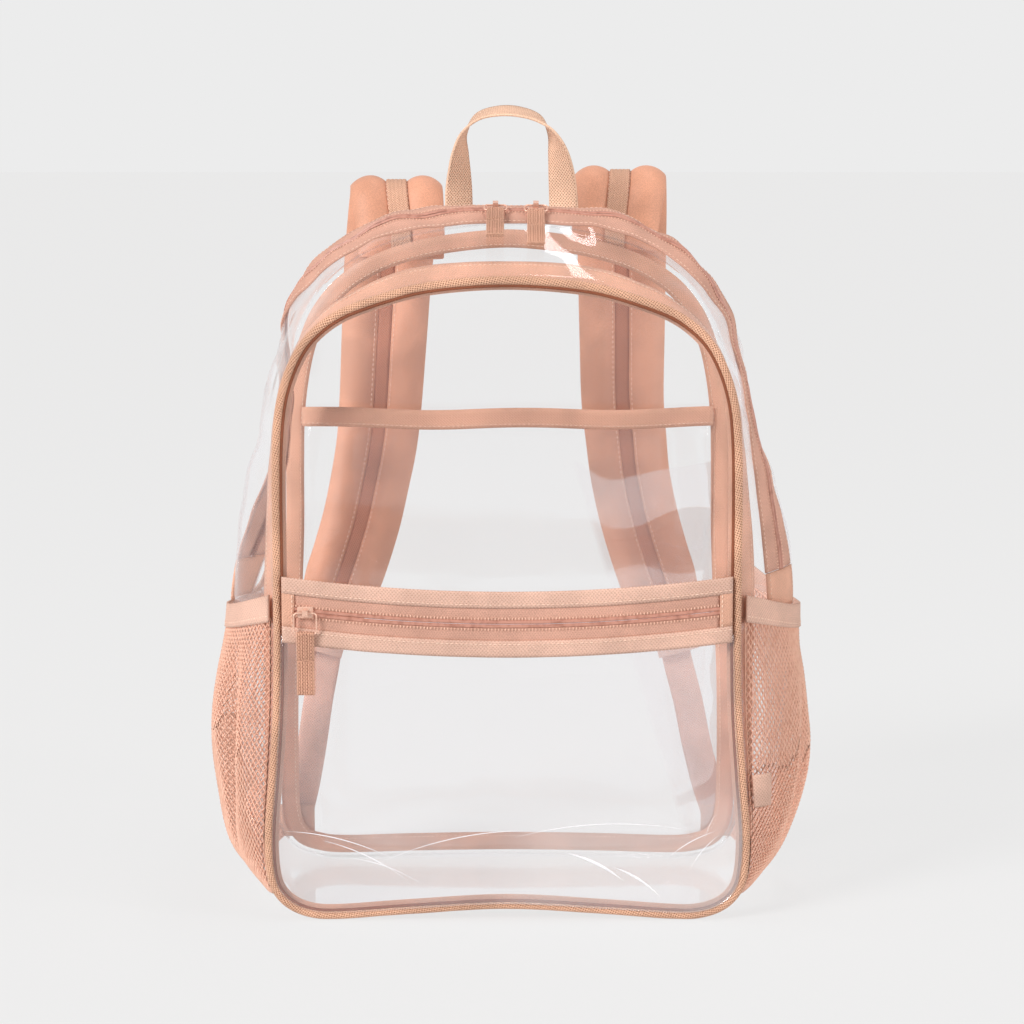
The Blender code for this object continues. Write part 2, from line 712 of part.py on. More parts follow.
def side_pocket_point(side, station, y, lift):
    """A point of a side pocket: standing off the gusset, and closed at its edges and foot."""
    across = min(abs((y - SIDE_POCKET_MIDDLE) / SIDE_POCKET_HALF), 1.0)
    place = (station if side > 0 else ROUND - station) % ROUND
    full = pocket_stand_off(side, skin(place, y).z) * (1 - across**2.2) ** 0.8
    return lifted(place, y, CLEAR + TAPE + full + lift)


SIDE_POCKET_FRONT_Y = GUSSET_FRONT_Y + TAPE
SIDE_POCKET_REAR_Y = REAR_Y - 3 * TAPE
SIDE_POCKET_MIDDLE = (SIDE_POCKET_FRONT_Y + SIDE_POCKET_REAR_Y) / 2
SIDE_POCKET_HALF = (SIDE_POCKET_REAR_Y - SIDE_POCKET_FRONT_Y) / 2


def build_side_pocket(side, word):
    """A net pocket with a taped mouth on one side of the bag."""
    foot = station_at_height(SIDE_POCKET_FOOT)
    head = station_at_height(SIDE_POCKET_HEIGHT)
    top = station_at_height(SIDE_POCKET_HEIGHT + SIDE_BAND_WIDTH)
    depth = SIDE_POCKET_REAR_Y - SIDE_POCKET_FRONT_Y
    stops = places_between(foot, head - STATION_GAP)
    columns = 10

    def net_point(column, row):
        y = SIDE_POCKET_FRONT_Y + depth * column / columns
        return side_pocket_point(side, stops[row], y, 0.0)

    def band_point(column, row):
        y = SIDE_POCKET_FRONT_Y + depth * column / columns
        return side_pocket_point(side, head + (top - head) * row, y, BINDING - TAPE)

    rows = len(stops) - 1
    sheet(f"side_pocket_net_{word}", "net", columns, rows, net_point, TAPE, -side)
    sheet(f"side_pocket_band_{word}", "grosgrain", columns, 1, band_point, BINDING, -side)


def build_label_tab():
    """A blank tab sewn on the right pocket, beside the piping."""
    low = station_at_height(LABEL_FOOT)
    high = station_at_height(LABEL_FOOT + LABEL_HEIGHT)

    def point(column, row):
        y = SIDE_POCKET_FRONT_Y + CLEAR + LABEL_WIDTH * column / 2
        return side_pocket_point(1, low + (high - low) * row, y, CLEAR + TAPE)

    sheet("label_tab", "grosgrain", 2, 1, point, TAPE, -1.0)


def ribbon(name, finish, route, across, width, thickness):
    """Flat webbing along a route, each point with its own direction across."""

    def point(column, row):
        return route[column] + across[column] * width * (row - 0.5)

    return sheet(name, finish, len(route) - 1, 1, point, thickness, 0.0)


def build_handle():
    """The grab handle: a loop of webbing whose face turns from the front to the sky."""
    base = skin(TOP - HANDLE_SPAN / 2 / TOP_STEP, HANDLE_DEPTH).z + HANDLE_SEAT
    route, across = [], []
    for step in HANDLE_ROUTE:
        z = base + step.rise * HANDLE_RISE
        route.append(Vector((step.along * HANDLE_SPAN, HANDLE_DEPTH, z)))
    for number, step in enumerate(HANDLE_ROUTE):
        before = route[max(number - 1, 0)]
        after = route[min(number + 1, len(route) - 1)]
        along = (after - before).normalized()
        outwards = Vector((-along.z, 0, along.x))
        turn = radians(step.turn)
        across.append(outwards * cos(turn) + Vector((0, sin(turn), 0)))
    ribbon("handle", "webbing", route, across, HANDLE_WEBBING, HANDLE_THICKNESS)


def strap_frames(side):
    """Middle line of a strap with its directions across and outwards, and its two sizes."""
    length = STRAP_LENGTH if side > 0 else STRAP_LENGTH * LEFT_STRAP_SHARE
    middles = []
    for step in STRAP_ROUTE:
        x = side * STRAP_SPREAD * (step.right if side > 0 else step.left)
        y = REAR_Y + BACK_CROWN + STRAP_REACH * step.behind
        middles.append(Vector((x, y, STRAP_FOOT + length * step.height)))
    frames = []
    for number, step in enumerate(STRAP_ROUTE):
        before = middles[max(number - 1, 0)]
        after = middles[min(number + 1, len(middles) - 1)]
        along = (after - before).normalized()
        across = (Vector((1, 0, 0)) - along * along.x).normalized()
        out = across.cross(along)
        width = step.width * STRAP_WIDTH
        frames.append((middles[number], across, out, width, step.thickness * STRAP_THICKNESS))
    return frames


def pad_outline():
    """The strap's section, as places across and outwards in shares of its two sizes."""
    right_top = [(point.out, point.lift) for point in PAD_SECTION]
    left_top = [(-out, lift) for out, lift in reversed(PAD_SECTION[1:])]
    left_low = [(-point.out, -point.lift) for point in PAD_SECTION[:-1]]
    right_low = [(point.out, -point.lift) for point in reversed(PAD_SECTION[1:-1])]
    return right_top + right_low + left_low + left_top


def build_strap(side, word):
    """A padded strap with two lobes, the webbing in its outer channel, buckle and anchor."""
    frames = strap_frames(side)
    outline = pad_outline()

    def pad_point(column, corner):
        middle, across, out, width, thickness = frames[column]
        place, lift = outline[corner]
        return middle + across * place * width + out * lift * thickness

    lofted(f"strap_pad_{word}", "pad_cloth", len(frames) - 1, len(outline), pad_point)

    route = []
    for middle, across, out, width, thickness in frames[:-1]:
        lift = WEBBING_LIFT * thickness + CLEAR + WEBBING_THICKNESS / 2
        route.append(middle + out * lift)
    sides = [frame[1] for frame in frames[:-1]]
    ribbon(f"strap_webbing_{word}", "webbing", route, sides, STRAP_WEBBING, WEBBING_THICKNESS)

    end, across, out = frames[-1][:3]
    along = out.cross(across)
    build_buckle(word, end, across, along)
    build_lower_webbing(side, word, end)


def build_buckle(word, end, across, along):
    """A ladder buckle under the pad's end: a plate with two slots."""
    columns, rows = 5, 5
    top = end + along * CLEAR

    def point(column, row):
        right = across * BUCKLE_WIDTH * (column / columns - 0.5)
        return top + right + along * BUCKLE_HEIGHT * row / rows

    bm = grid_of(columns, rows, point)
    slots = []
    for face in bm.faces:
        place = face.calc_center_median() - top
        row = int(place.dot(along) / BUCKLE_HEIGHT * rows)
        column = int((place.dot(across) / BUCKLE_WIDTH + 0.5) * columns)
        if row in (1, 3) and 0 < column < columns - 1:
            slots.append(face)
    bmesh.ops.delete(bm, geom=slots, context="FACES")
    add_wall(add_object(f"buckle_{word}", bm, "buckle_plastic"), BUCKLE_THICKNESS, 0.0)


def build_lower_webbing(side, word, end):
    """Webbing from the buckle down to its anchor tab at the bag's lower corner."""
    anchor_y = REAR_Y + BACK_CROWN * 0.2 + CLEAR
    start = end + Vector((0, BUCKLE_THICKNESS / 2 + CLEAR + WEBBING_THICKNESS / 2, -STRAP_TUCK))
    finish_y = anchor_y + BINDING + CLEAR + WEBBING_THICKNESS / 2
    finish = Vector((side * ANCHOR_X, finish_y, ANCHOR_FOOT + ANCHOR_HEIGHT / 2))
    route, across = [], []
    for step in DROP_ROUTE:
        x = start.x + (finish.x - start.x) * step.out
        y = start.y + (finish.y - start.y) * step.back
        route.append(Vector((x, y, start.z + (finish.z - start.z) * step.drop)))
    for number in range(len(route)):
        before = route[max(number - 1, 0)]
        after = route[min(number + 1, len(route) - 1)]
        along = after - before
        across.append(Vector((-along.z, 0, along.x)).normalized())
    ribbon(f"lower_webbing_{word}", "webbing", route, across, LOWER_WEBBING, WEBBING_THICKNESS)

    def anchor_point(column, row):
        x = side * ANCHOR_X + ANCHOR_WIDTH * (column - 0.5)
        return Vector((x, anchor_y, ANCHOR_FOOT + ANCHOR_HEIGHT * row))

    sheet(f"anchor_tab_{word}", "grosgrain", 1, 1, anchor_point, BINDING, -1.0)


def box(size, middle):
    """A rounded box as a bmesh."""
    bm = bmesh.new()
    bmesh.ops.create_cube(bm, size=1.0)
    bmesh.ops.scale(bm, vec=size, verts=bm.verts)
    bmesh.ops.translate(bm, vec=middle, verts=bm.verts)
    return bm


def build_slider(name, place):
    """A zip slider: its body, and a bridge with a tunnel for the puller's wire along X."""
    body = box((SLIDER_LENGTH, SLIDER_WIDTH, SLIDER_THICKNESS), (0, 0, 0))
    bmesh.ops.bevel(
        body, geom=body.edges[:], affect="EDGES", offset=SLIDER_THICKNESS / 4, segments=1,
        profile=0.5, material=-1,
    )
    made = add_object(name, body, "slider_metal", place)
    height = TUNNEL + BRIDGE_WALL
    bridge_size = (BRIDGE_LENGTH, TUNNEL + 2 * BRIDGE_WALL, height + SLIDER_THICKNESS / 2)
    bridge = box(bridge_size, (0, 0, bridge_size[2] / 2))
    bridge_cutter = add_object(f"{name}_bridge", bridge, "slider_metal", place, CUTTERS)
    tunnel = box((SLIDER_LENGTH, TUNNEL, TUNNEL), (0, 0, SLIDER_THICKNESS / 2 + TUNNEL / 2))
    tunnel_cutter = add_object(f"{name}_tunnel", tunnel, "slider_metal", place, CUTTERS)
    for cutter, operation in ((bridge_cutter, "UNION"), (tunnel_cutter, "DIFFERENCE")):
        cutter.hide_render = True
        cutter.display_type = "WIRE"
        step = made.modifiers.new(operation.lower(), "BOOLEAN")
        step.operation = operation
        step.object = cutter
    return made


def build_puller(name, hinge, length):
    """A wire loop on the slider's bridge and a folded tab hung from its far end."""
    pivot = bpy.data.objects.new(f"{name}_hinge", None)
    pivot.matrix_world = hinge
    PARTS.objects.link(pivot)

    curve = bpy.data.curves.new(f"{name}_loop", "CURVE")
    curve.dimensions = "3D"
    curve.bevel_depth = WIRE / 2
    curve.bevel_resolution = 1
    corner = WIRE
    corners = []
    for x, y in ((-1, 0), (1, 0), (1, -1), (-1, -1)):
        at = Vector((x * LOOP_WIDTH / 2, y * length, 0))
        inwards = Vector((-x, -1 if y == 0 else 1, 0))
        ends = (at + Vector((0, inwards.y * corner, 0)), at + Vector((inwards.x * corner, 0, 0)))
        corners += ends if x * (1 + 2 * y) < 0 else ends[::-1]
    spline = curve.splines.new("POLY")
    spline.points.add(len(corners) - 1)
    for point, at in zip(spline.points, corners):
        point.co = (*at, 1)
    spline.use_cyclic_u = True
    loop = bpy.data.objects.new(f"{name}_loop", curve)
    curve.materials.append(material(f"{name}_loop", "slider_metal"))
    PARTS.objects.link(loop)

    ply = TAB_THICKNESS / 2 - TAB_PLY / 2
    wrap = WIRE / 2 + CLEAR + TAB_PLY / 2
    fold = [(TAB_LENGTH, ply), (wrap * 1.6, ply)]
    fold += [(wrap * cos(radians(turn)), wrap * sin(radians(turn))) for turn in range(50, 311, 52)]
    fold += [(wrap * 1.6, -ply), (TAB_LENGTH, -ply)]

    def tab_point(column, row):
        along, lift = fold[column]
        return Vector((TAB_WIDTH * (row - 0.5), -length - along, lift))

    tab = sheet(f"{name}_tab", "pull_tab", len(fold) - 1, 1, tab_point, TAB_PLY, 0.0)
    for piece in (loop, tab):
        piece.parent = pivot


def frame_at(origin, along, out):
    """A placing matrix with X along the zip and Z straight out."""
    along = (along - out * along.dot(out)).normalized()
    rotation = Matrix((along, out.cross(along), out)).transposed().to_4x4()
    return Matrix.Translation(origin) @ rotation


def build_sliders():
    """Two sliders at the top of the main zip and one on the pocket's zip, with their pullers."""
    hinge_lift = SLIDER_THICKNESS / 2 + TUNNEL / 2
    seat = COIL_HEIGHT / 4 + CLEAR + SLIDER_THICKNESS / 2
    for word, x, tilt in (
        ("left", SLIDER_MIDDLE - SLIDER_SPREAD / 2, MAIN_LEFT_TILT),
        ("right", SLIDER_MIDDLE + SLIDER_SPREAD / 2, MAIN_RIGHT_TILT),
    ):
        station = TOP - x / TOP_STEP
        out = out_of_skin(station, zip_y(station))
        along = lifted(station - 0.3, zip_y(station), 0) - lifted(station + 0.3, zip_y(station), 0)
        place = frame_at(lifted(station, zip_y(station), seat), along, out)
        build_slider(f"main_slider_{word}", place)
        hinge = place @ Matrix.Translation((0, 0, hinge_lift))
        hinge = hinge @ Matrix.Rotation(radians(tilt), 4, "X")
        build_puller(f"main_pull_{word}", hinge, MAIN_LOOP_LENGTH)

    drop = POCKET_COIL_TOP + COIL_WIDTH / 2
    z = pocket_band_z(POCKET_SLIDER_X, drop)
    face = front_y(POCKET_SLIDER_X, z) - POCKET_STANDOFF - (COIL_HEIGHT - TAPE)
    origin = Vector((POCKET_SLIDER_X, face - CLEAR - SLIDER_THICKNESS / 2, z))
    place = frame_at(origin, Vector((1, 0, 0)), Vector((0, -1, 0)))
    build_slider("pocket_slider", place)
    hinge = place @ Matrix.Translation((0, 0, hinge_lift))
    build_puller("pocket_pull", hinge, POCKET_LOOP_LENGTH)


for builder in (
    build_gusset,
    build_main_zip,
    build_front_panel,
    build_back_panel,
    build_piping,
    build_front_binding,
    build_back_binding,
    build_pocket_band,
    build_pocket_panel,
    build_sleeve,
    build_label_tab,
    build_handle,
    build_sliders,
):
    builder()
for side, word in ((1, "right"), (-1, "left")):
    build_side_pocket(side, word)
    build_strap(side, word)
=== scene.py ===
"""Looks of a clear backpack with woven trim, net side pockets and padded straps.

Every piece is modelled at its place in the part's own frame: metres, +Z up, the front towards -Y.
"""

from __future__ import annotations

import logging
from collections.abc import Callable, Iterable, Sequence
from dataclasses import dataclass
from enum import Enum
from functools import cache, cached_property
from math import cos, exp, pi, radians, sin, tau
from typing import NamedTuple

import bmesh
import bpy
from mathutils import Matrix, Vector, noise


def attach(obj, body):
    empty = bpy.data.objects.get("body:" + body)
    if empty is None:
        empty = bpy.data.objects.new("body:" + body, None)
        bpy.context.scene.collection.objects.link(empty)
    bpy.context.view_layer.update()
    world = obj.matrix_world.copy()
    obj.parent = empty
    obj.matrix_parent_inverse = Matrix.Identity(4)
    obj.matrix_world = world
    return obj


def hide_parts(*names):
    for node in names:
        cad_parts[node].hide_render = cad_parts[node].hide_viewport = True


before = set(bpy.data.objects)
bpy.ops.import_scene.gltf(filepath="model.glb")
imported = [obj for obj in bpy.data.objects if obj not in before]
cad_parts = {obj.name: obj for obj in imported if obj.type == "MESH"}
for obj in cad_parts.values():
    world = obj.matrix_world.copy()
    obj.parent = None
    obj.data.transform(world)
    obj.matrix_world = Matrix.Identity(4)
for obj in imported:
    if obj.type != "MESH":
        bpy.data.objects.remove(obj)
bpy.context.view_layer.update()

LOG = logging.getLogger("clear_backpack")
WELD = 0.00001
PUFF_FRAMES = 20
NEAR = 0.2

Place = Callable[[float, float], Vector]
Colour = tuple[float, float, float]
Spot = tuple[Vector, Vector]
Size = tuple[float, float, float]
Value = float | tuple | bpy.types.NodeSocket

STITCH = (0.0011, 0.0003, 0.0002)
END_STITCH = (0.0010, 0.0003, 0.0002)
STITCH_PITCH = 0.0031
END_PITCH = 0.0028
TICK_PITCH = 0.0021


class Side(Enum):
    """The two sides of the bag, as seen from its front."""

    RIGHT = 1
    LEFT = -1

    @property
    def word(self) -> str:
        """The side's word in piece names."""
        return self.name.lower()


class Body(Enum):
    """Bodies that pieces ride on."""

    BAG = "bag"
    POCKET_PULL = "pocket_pull"
    MAIN_PULL_LEFT = "main_pull_left"
    MAIN_PULL_RIGHT = "main_pull_right"


class Station(NamedTuple):
    """One step of the bag's outlines, as shares of its overall sizes."""

    front_x: float
    front_z: float
    crown_right: float
    crown_left: float
    crown_z: float
    rear_x: float
    rear_z: float
    zip_right: float
    zip_left: float


class Dent(NamedTuple):
    """A soft dent of the gusset, by station, place across, reaches and depth."""

    station: float
    across: float
    reach_along: float
    reach_across: float
    depth: float


class PocketStep(NamedTuple):
    """How far the side nets stand off at a height, as shares."""

    height: float
    right: float
    left: float


class HandleStep(NamedTuple):
    """One step of the grab handle, with the turn of its face from the front."""

    along: float
    rise: float
    turn: float


class Crease(NamedTuple):
    """A crease's streak of painted highlight: its middle, length, turn in degrees and width."""

    x: float
    z: float
    length: float
    turn: float
    width: float


class StrapStep(NamedTuple):
    """One step of a padded strap from its root at the rear seam to its lower end."""

    height: float
    right: float
    left: float
    behind: float
    width: float
    thickness: float


class Sun(NamedTuple):
    """A distant light: its name, direction, width in degrees and strength."""

    name: str
    place: Size
    angle: float
    strength: float


class Box(NamedTuple):
    """A rectangular lamp: its name, place, sizes and power."""

    name: str
    place: Size
    wide: float
    high: float
    power: float


STATIONS = [
    Station(0.000, 0.023, 0.000, 0.000, -0.020, 0.000, 0.014, 0.00, 0.00),
    Station(0.395, 0.015, 0.330, 0.330, -0.020, 0.397, 0.012, 0.00, 0.00),
    Station(0.691, 0.007, 0.605, 0.605, -0.020, 0.705, 0.009, 0.00, 0.00),
    Station(0.816, 0.009, 0.735, 0.730, -0.012, 0.827, 0.013, 0.00, 0.00),
    Station(0.908, 0.023, 0.827, 0.816, 0.010, 0.917, 0.025, 0.00, 0.00),
    Station(0.967, 0.048, 0.886, 0.870, 0.038, 0.971, 0.049, 0.00, 0.00),
    Station(0.990, 0.084, 0.919, 0.903, 0.074, 0.994, 0.081, 0.00, 0.00),
    Station(0.993, 0.143, 0.941, 0.924, 0.130, 1.000, 0.134, -0.10, 0.00),
    Station(0.974, 0.227, 0.962, 0.941, 0.210, 1.000, 0.215, -0.25, 0.00),
    Station(0.954, 0.333, 0.984, 0.957, 0.309, 0.994, 0.317, -0.35, 0.00),
    Station(0.947, 0.443, 1.000, 0.968, 0.414, 0.978, 0.421, -0.44, 0.02),
    Station(0.947, 0.562, 0.997, 0.954, 0.515, 0.965, 0.532, -0.50, 0.18),
    Station(0.947, 0.677, 0.935, 0.914, 0.609, 0.962, 0.639, -0.51, 0.36),
    Station(0.941, 0.759, 0.865, 0.862, 0.689, 0.955, 0.718, -0.48, 0.44),
    Station(0.921, 0.820, 0.824, 0.827, 0.754, 0.929, 0.787, -0.38, 0.40),
    Station(0.872, 0.874, 0.797, 0.795, 0.801, 0.891, 0.838, -0.26, 0.26),
    Station(0.803, 0.914, 0.762, 0.762, 0.846, 0.833, 0.882, -0.16, 0.10),
    Station(0.691, 0.947, 0.686, 0.686, 0.902, 0.728, 0.926, -0.16, -0.04),
    Station(0.546, 0.969, 0.562, 0.562, 0.953, 0.571, 0.961, -0.17, -0.12),
    Station(0.368, 0.988, 0.378, 0.389, 0.989, 0.385, 0.983, -0.17, -0.16),
    Station(0.184, 0.997, 0.184, 0.195, 0.999, 0.192, 0.995, -0.17, -0.17),
    Station(0.000, 1.000, 0.000, 0.000, 1.000, 0.000, 1.000, -0.17, -0.17),
]
TOP = len(STATIONS) - 1
ROUND = 2 * TOP

DENTS = [
    Dent(ROUND - 12.3, 0.50, 2.6, 0.42, 0.190),
    Dent(13.0, 0.50, 2.0, 0.40, 0.030),
    Dent(TOP + 4.0, -0.50, 1.2, 0.22, 0.014),
    Dent(TOP - 3.5, -0.55, 1.4, 0.22, 0.016),
    Dent(4.6, -0.50, 1.4, 0.40, 0.030),
    Dent(ROUND - 4.6, -0.45, 1.4, 0.40, 0.040),
]

POCKET_STEPS = [
    PocketStep(0.07, 0.05, 0.10),
    PocketStep(0.14, 0.28, 0.55),
    PocketStep(0.24, 0.52, 0.74),
    PocketStep(0.37, 0.86, 0.72),
    PocketStep(0.53, 1.00, 0.82),
    PocketStep(0.68, 0.72, 0.79),
    PocketStep(0.82, 0.46, 0.52),
    PocketStep(0.95, 0.12, 0.14),
    PocketStep(1.10, 0.05, 0.06),
]

HANDLE_STEPS = [
    HandleStep(-0.46, 0.00, 148),
    HandleStep(-0.46, 0.19, 144),
    HandleStep(-0.455, 0.38, 132),
    HandleStep(-0.445, 0.57, 118),
    HandleStep(-0.41, 0.77, 98),
    HandleStep(-0.28, 0.94, 80),
    HandleStep(-0.08, 1.00, 75),
    HandleStep(0.12, 0.99, 75),
    HandleStep(0.30, 0.92, 80),
    HandleStep(0.42, 0.77, 102),
    HandleStep(0.485, 0.55, 128),
    HandleStep(0.52, 0.28, 146),
    HandleStep(0.535, 0.00, 154),
]

# Streaks of painted highlight along creases of the pocket film, one to a row.
HIGHLIGHT_CREASES = [
    Crease(-0.106, 0.050, 0.070, -14, 0.0006),
    Crease(-0.090, 0.040, 0.060, -26, 0.0007),
    Crease(-0.078, 0.034, 0.046, -20, 0.0005),
    Crease(-0.030, 0.050, 0.100, 12, 0.0005),
    Crease(0.060, 0.058, 0.110, 2, 0.0006),
    Crease(0.056, 0.036, 0.040, -28, 0.0022),
    Crease(0.082, 0.026, 0.036, -34, 0.0018),
    Crease(0.124, 0.044, 0.030, 52, 0.0006),
    Crease(0.116, 0.050, 0.034, 30, 0.0006),
    Crease(0.128, 0.060, 0.022, 70, 0.0005),
]

STRAP_STEPS = [
    StrapStep(0.835, 0.84, 0.84, 0.03, 0.96, 0.30),
    StrapStep(0.885, 0.85, 0.84, 0.10, 0.98, 0.45),
    StrapStep(0.935, 0.87, 0.86, 0.27, 1.02, 0.75),
    StrapStep(0.975, 0.89, 0.88, 0.44, 1.05, 0.95),
    StrapStep(0.990, 0.90, 0.89, 0.66, 1.05, 1.00),
    StrapStep(0.965, 0.91, 0.90, 0.86, 1.05, 1.00),
    StrapStep(0.905, 0.92, 0.93, 0.97, 1.04, 1.00),
    StrapStep(0.800, 0.925, 0.97, 1.00, 1.02, 1.00),
    StrapStep(0.640, 0.93, 1.005, 0.98, 0.99, 1.00),
    StrapStep(0.500, 0.935, 1.035, 0.92, 0.96, 1.00),
    StrapStep(0.410, 0.965, 1.065, 0.87, 0.94, 1.00),
    StrapStep(0.325, 1.00, 1.12, 0.82, 0.92, 1.00),
    StrapStep(0.235, 1.07, 1.19, 0.76, 0.91, 1.00),
    StrapStep(0.150, 1.16, 1.28, 0.70, 0.90, 1.00),
    StrapStep(0.085, 1.24, 1.36, 0.65, 0.88, 0.95),
    StrapStep(0.030, 1.30, 1.42, 0.60, 0.76, 0.75),
    StrapStep(0.000, 1.33, 1.45, 0.58, 0.48, 0.40),
]


def blend(values: Sequence, place: float, closed: bool = False) -> float | Vector:
    """Read a smooth value between those of a list.

    Args:
        values: Numbers or vectors at whole places.
        place: Where to read, in steps of the list.
        closed: Whether the list runs round to its start.

    Returns:
        The value, of the list's own kind.
    """
    start = int(place // 1)
    share = place - start
    last = len(values) - 1

    def at(index: int) -> float | Vector:
        """The list's value at a step."""
        return values[index % len(values)] if closed else values[min(max(index, 0), last)]

    before, here, there, after = (at(start + step) for step in (-1, 0, 1, 2))
    square = share * share
    cube = square * share
    return (
        here * (2 * cube - 3 * square + 1)
        + (there - before) / 2 * (cube - 2 * square + share)
        + there * (3 * square - 2 * cube)
        + (after - here) / 2 * (cube - square)
    )


def step_value(steps: Sequence[tuple[float, float]], at: float) -> float:
    """Read a value between rising steps, each a place and its value.

    Args:
        steps: Places and values, by rising place.
        at: The place to read.

    Returns:
        The value there.
    """
    at = min(max(at, steps[0][0]), steps[-1][0])
    for (low, before), (high, after) in zip(steps, steps[1:]):
        if at <= high:
            return before + (after - before) * (at - low) / (high - low)
    return steps[-1][1]


def heading(points: Sequence[Vector], at: float, reach: float) -> Vector:
    """Direction of a line of points, taken over some steps to each side.

    Args:
        points: The line.
        at: Where to take it, in steps.
        reach: How many steps each way.

    Returns:
        The direction, of length 1.
    """
    last = len(points) - 1
    return (blend(points, min(at + reach, last)) - blend(points, max(at - reach, 0))).normalized()


def frame_at(origin: Vector, along: Vector, out: Vector) -> Matrix:
    """A placing matrix with X along a line and Z straight out.

    Args:
        origin: Where it places.
        along: Direction of the line.
        out: Direction out, square to the line.

    Returns:
        The matrix.
    """
    turned = Matrix((along, out.cross(along), out)).transposed().to_4x4()
    return Matrix.Translation(origin) @ turned


@dataclass(frozen=True)
class BagShape:
    """The bag's form: its seams, gusset, panels and side pockets.

    Sizes are metres; the stations place the outlines as shares of them.
    """

    front_width: float = 0.304
    front_height: float = 0.406
    crown_width: float = 0.370
    crown_height: float = 0.447
    rear_width: float = 0.312
    rear_height: float = 0.432
    depth: float = 0.140
    sheet: float = 0.0012
    tape: float = 0.0012
    binding: float = 0.0016
    clear: float = 0.0004
    piping: float = 0.0027
    crown_place: float = 0.45
    roundness: float = 1.6
    front_crown: float = 0.004
    back_crown: float = 0.002
    band_top: float = 0.2127
    band_sag: float = 0.0105
    pocket_standoff: float = 0.0016
    pocket_fullness: float = 0.006
    net_height: float = 0.188
    net_fullness: float = 0.019
    net_band: float = 0.0135
    net_foot: float = 0.014
    net_spread: float = 0.035
    crumple_from: float = 0.20
    crumple_rise: float = 0.12
    crumple_broad: float = 0.0062
    crumple_small: float = 0.0032
    calm_x: float = 0.0055
    calm_reach: float = 0.045
    zip_end: float = 0.026

    @cached_property
    def front_y_seam(self) -> float:
        """Depth of the front seam."""
        return -self.depth / 2

    @cached_property
    def rear_y_seam(self) -> float:
        """Depth of the rear seam."""
        return self.depth / 2

    @cached_property
    def gusset_front(self) -> float:
        """Depth where the gusset starts behind the piping."""
        return self.front_y_seam + self.piping + self.clear

    @cached_property
    def gusset_rear(self) -> float:
        """Depth where the gusset ends before the back panel."""
        return self.rear_y_seam - self.sheet - 2 * self.clear

    @cached_property
    def rear_tape(self) -> float:
        """Depth of the rear binding's front face."""
        return self.gusset_rear - self.sheet - self.tape

    @staticmethod
    def ring(right: Callable[[Station], float | Vector],
             left: Callable[[Station], float | Vector]) -> list:
        """Values round the bag: up the right side, then down the left."""
        return [right(s) for s in STATIONS] + [left(s) for s in reversed(STATIONS[1:-1])]

    @cached_property
    def front_loop(self) -> list[Vector]:
        """The front seam, station by station."""
        half, high = self.front_width / 2, self.front_height
        return self.ring(
            lambda s: Vector((s.front_x * half, 0, s.front_z * high)),
            lambda s: Vector((-s.front_x * half, 0, s.front_z * high)),
        )

    @cached_property
    def crown_loop(self) -> list[Vector]:
        """The gusset's fullest line."""
        half, high = self.crown_width / 2, self.crown_height
        return self.ring(
            lambda s: Vector((s.crown_right * half, 0, s.crown_z * high)),
            lambda s: Vector((-s.crown_left * half, 0, s.crown_z * high)),
        )

    @cached_property
    def rear_loop(self) -> list[Vector]:
        """The rear seam."""
        half, high = self.rear_width / 2, self.rear_height
        return self.ring(
            lambda s: Vector((s.rear_x * half, 0, s.rear_z * high)),
            lambda s: Vector((-s.rear_x * half, 0, s.rear_z * high)),
        )

    @cached_property
    def zip_loop(self) -> list[float]:
        """The main zip's places, as shares of half the depth."""
        return self.ring(lambda s: s.zip_right, lambda s: s.zip_left)

    @cached_property
    def split(self) -> float:
        """Station of the gusset's lower joint, under the side pockets' mouths."""
        return self.station_at(self.net_height + self.net_band / 2)

    @cached_property
    def zip_start(self) -> float:
        """Station where the main zip's coil starts."""
        return self.station_at(self.net_height + self.net_band / 2 + self.zip_end)

    def zip_y(self, station: float) -> float:
        """Depth of the main zip's middle at a station."""
        return blend(self.zip_loop, station, True) * self.rear_y_seam

    def skin(self, station: float, y: float) -> Vector:
        """The gusset's outer face at a station round the bag and a depth.

        Args:
            station: Place round the bag, in stations.
            y: Depth.

        Returns:
            The point.
        """
        share = (y - self.front_y_seam) / self.depth
        front = blend(self.front_loop, station, True)
        rear = blend(self.rear_loop, station, True)
        seam = front.lerp(rear, share)
        crown = blend(self.crown_loop, station, True) - front.lerp(rear, self.crown_place)
        reach = self.crown_place if share < self.crown_place else 1 - self.crown_place
        fall = min(abs(share - self.crown_place) / reach, 1.0)
        fullness = 1 - fall**self.roundness
        point = seam + crown * fullness
        inward = (Vector((0, 0, self.front_height / 2)) - point).normalized()
        for dent in DENTS:
            along = (station - dent.station + TOP) % ROUND - TOP
            across = y / self.rear_y_seam - dent.across
            far = (along / dent.reach_along) ** 2 + (across / dent.reach_across) ** 2
            if far < 9:
                point += inward * dent.depth * self.depth * exp(-far) * fullness
        return Vector((point.x, y, max(point.z, 0.0)))

    def out_of_skin(self, station: float, y: float) -> Vector:
        """Direction straight out of the gusset.

        Args:
            station: Place round the bag, in stations.
            y: Depth.

        Returns:
            The direction, of length 1.
        """
        along = self.skin(station + NEAR, y) - self.skin(station - NEAR, y)
        step = self.depth / 100
        across = self.skin(station, y + step) - self.skin(station, y - step)
        return -along.cross(across).normalized()

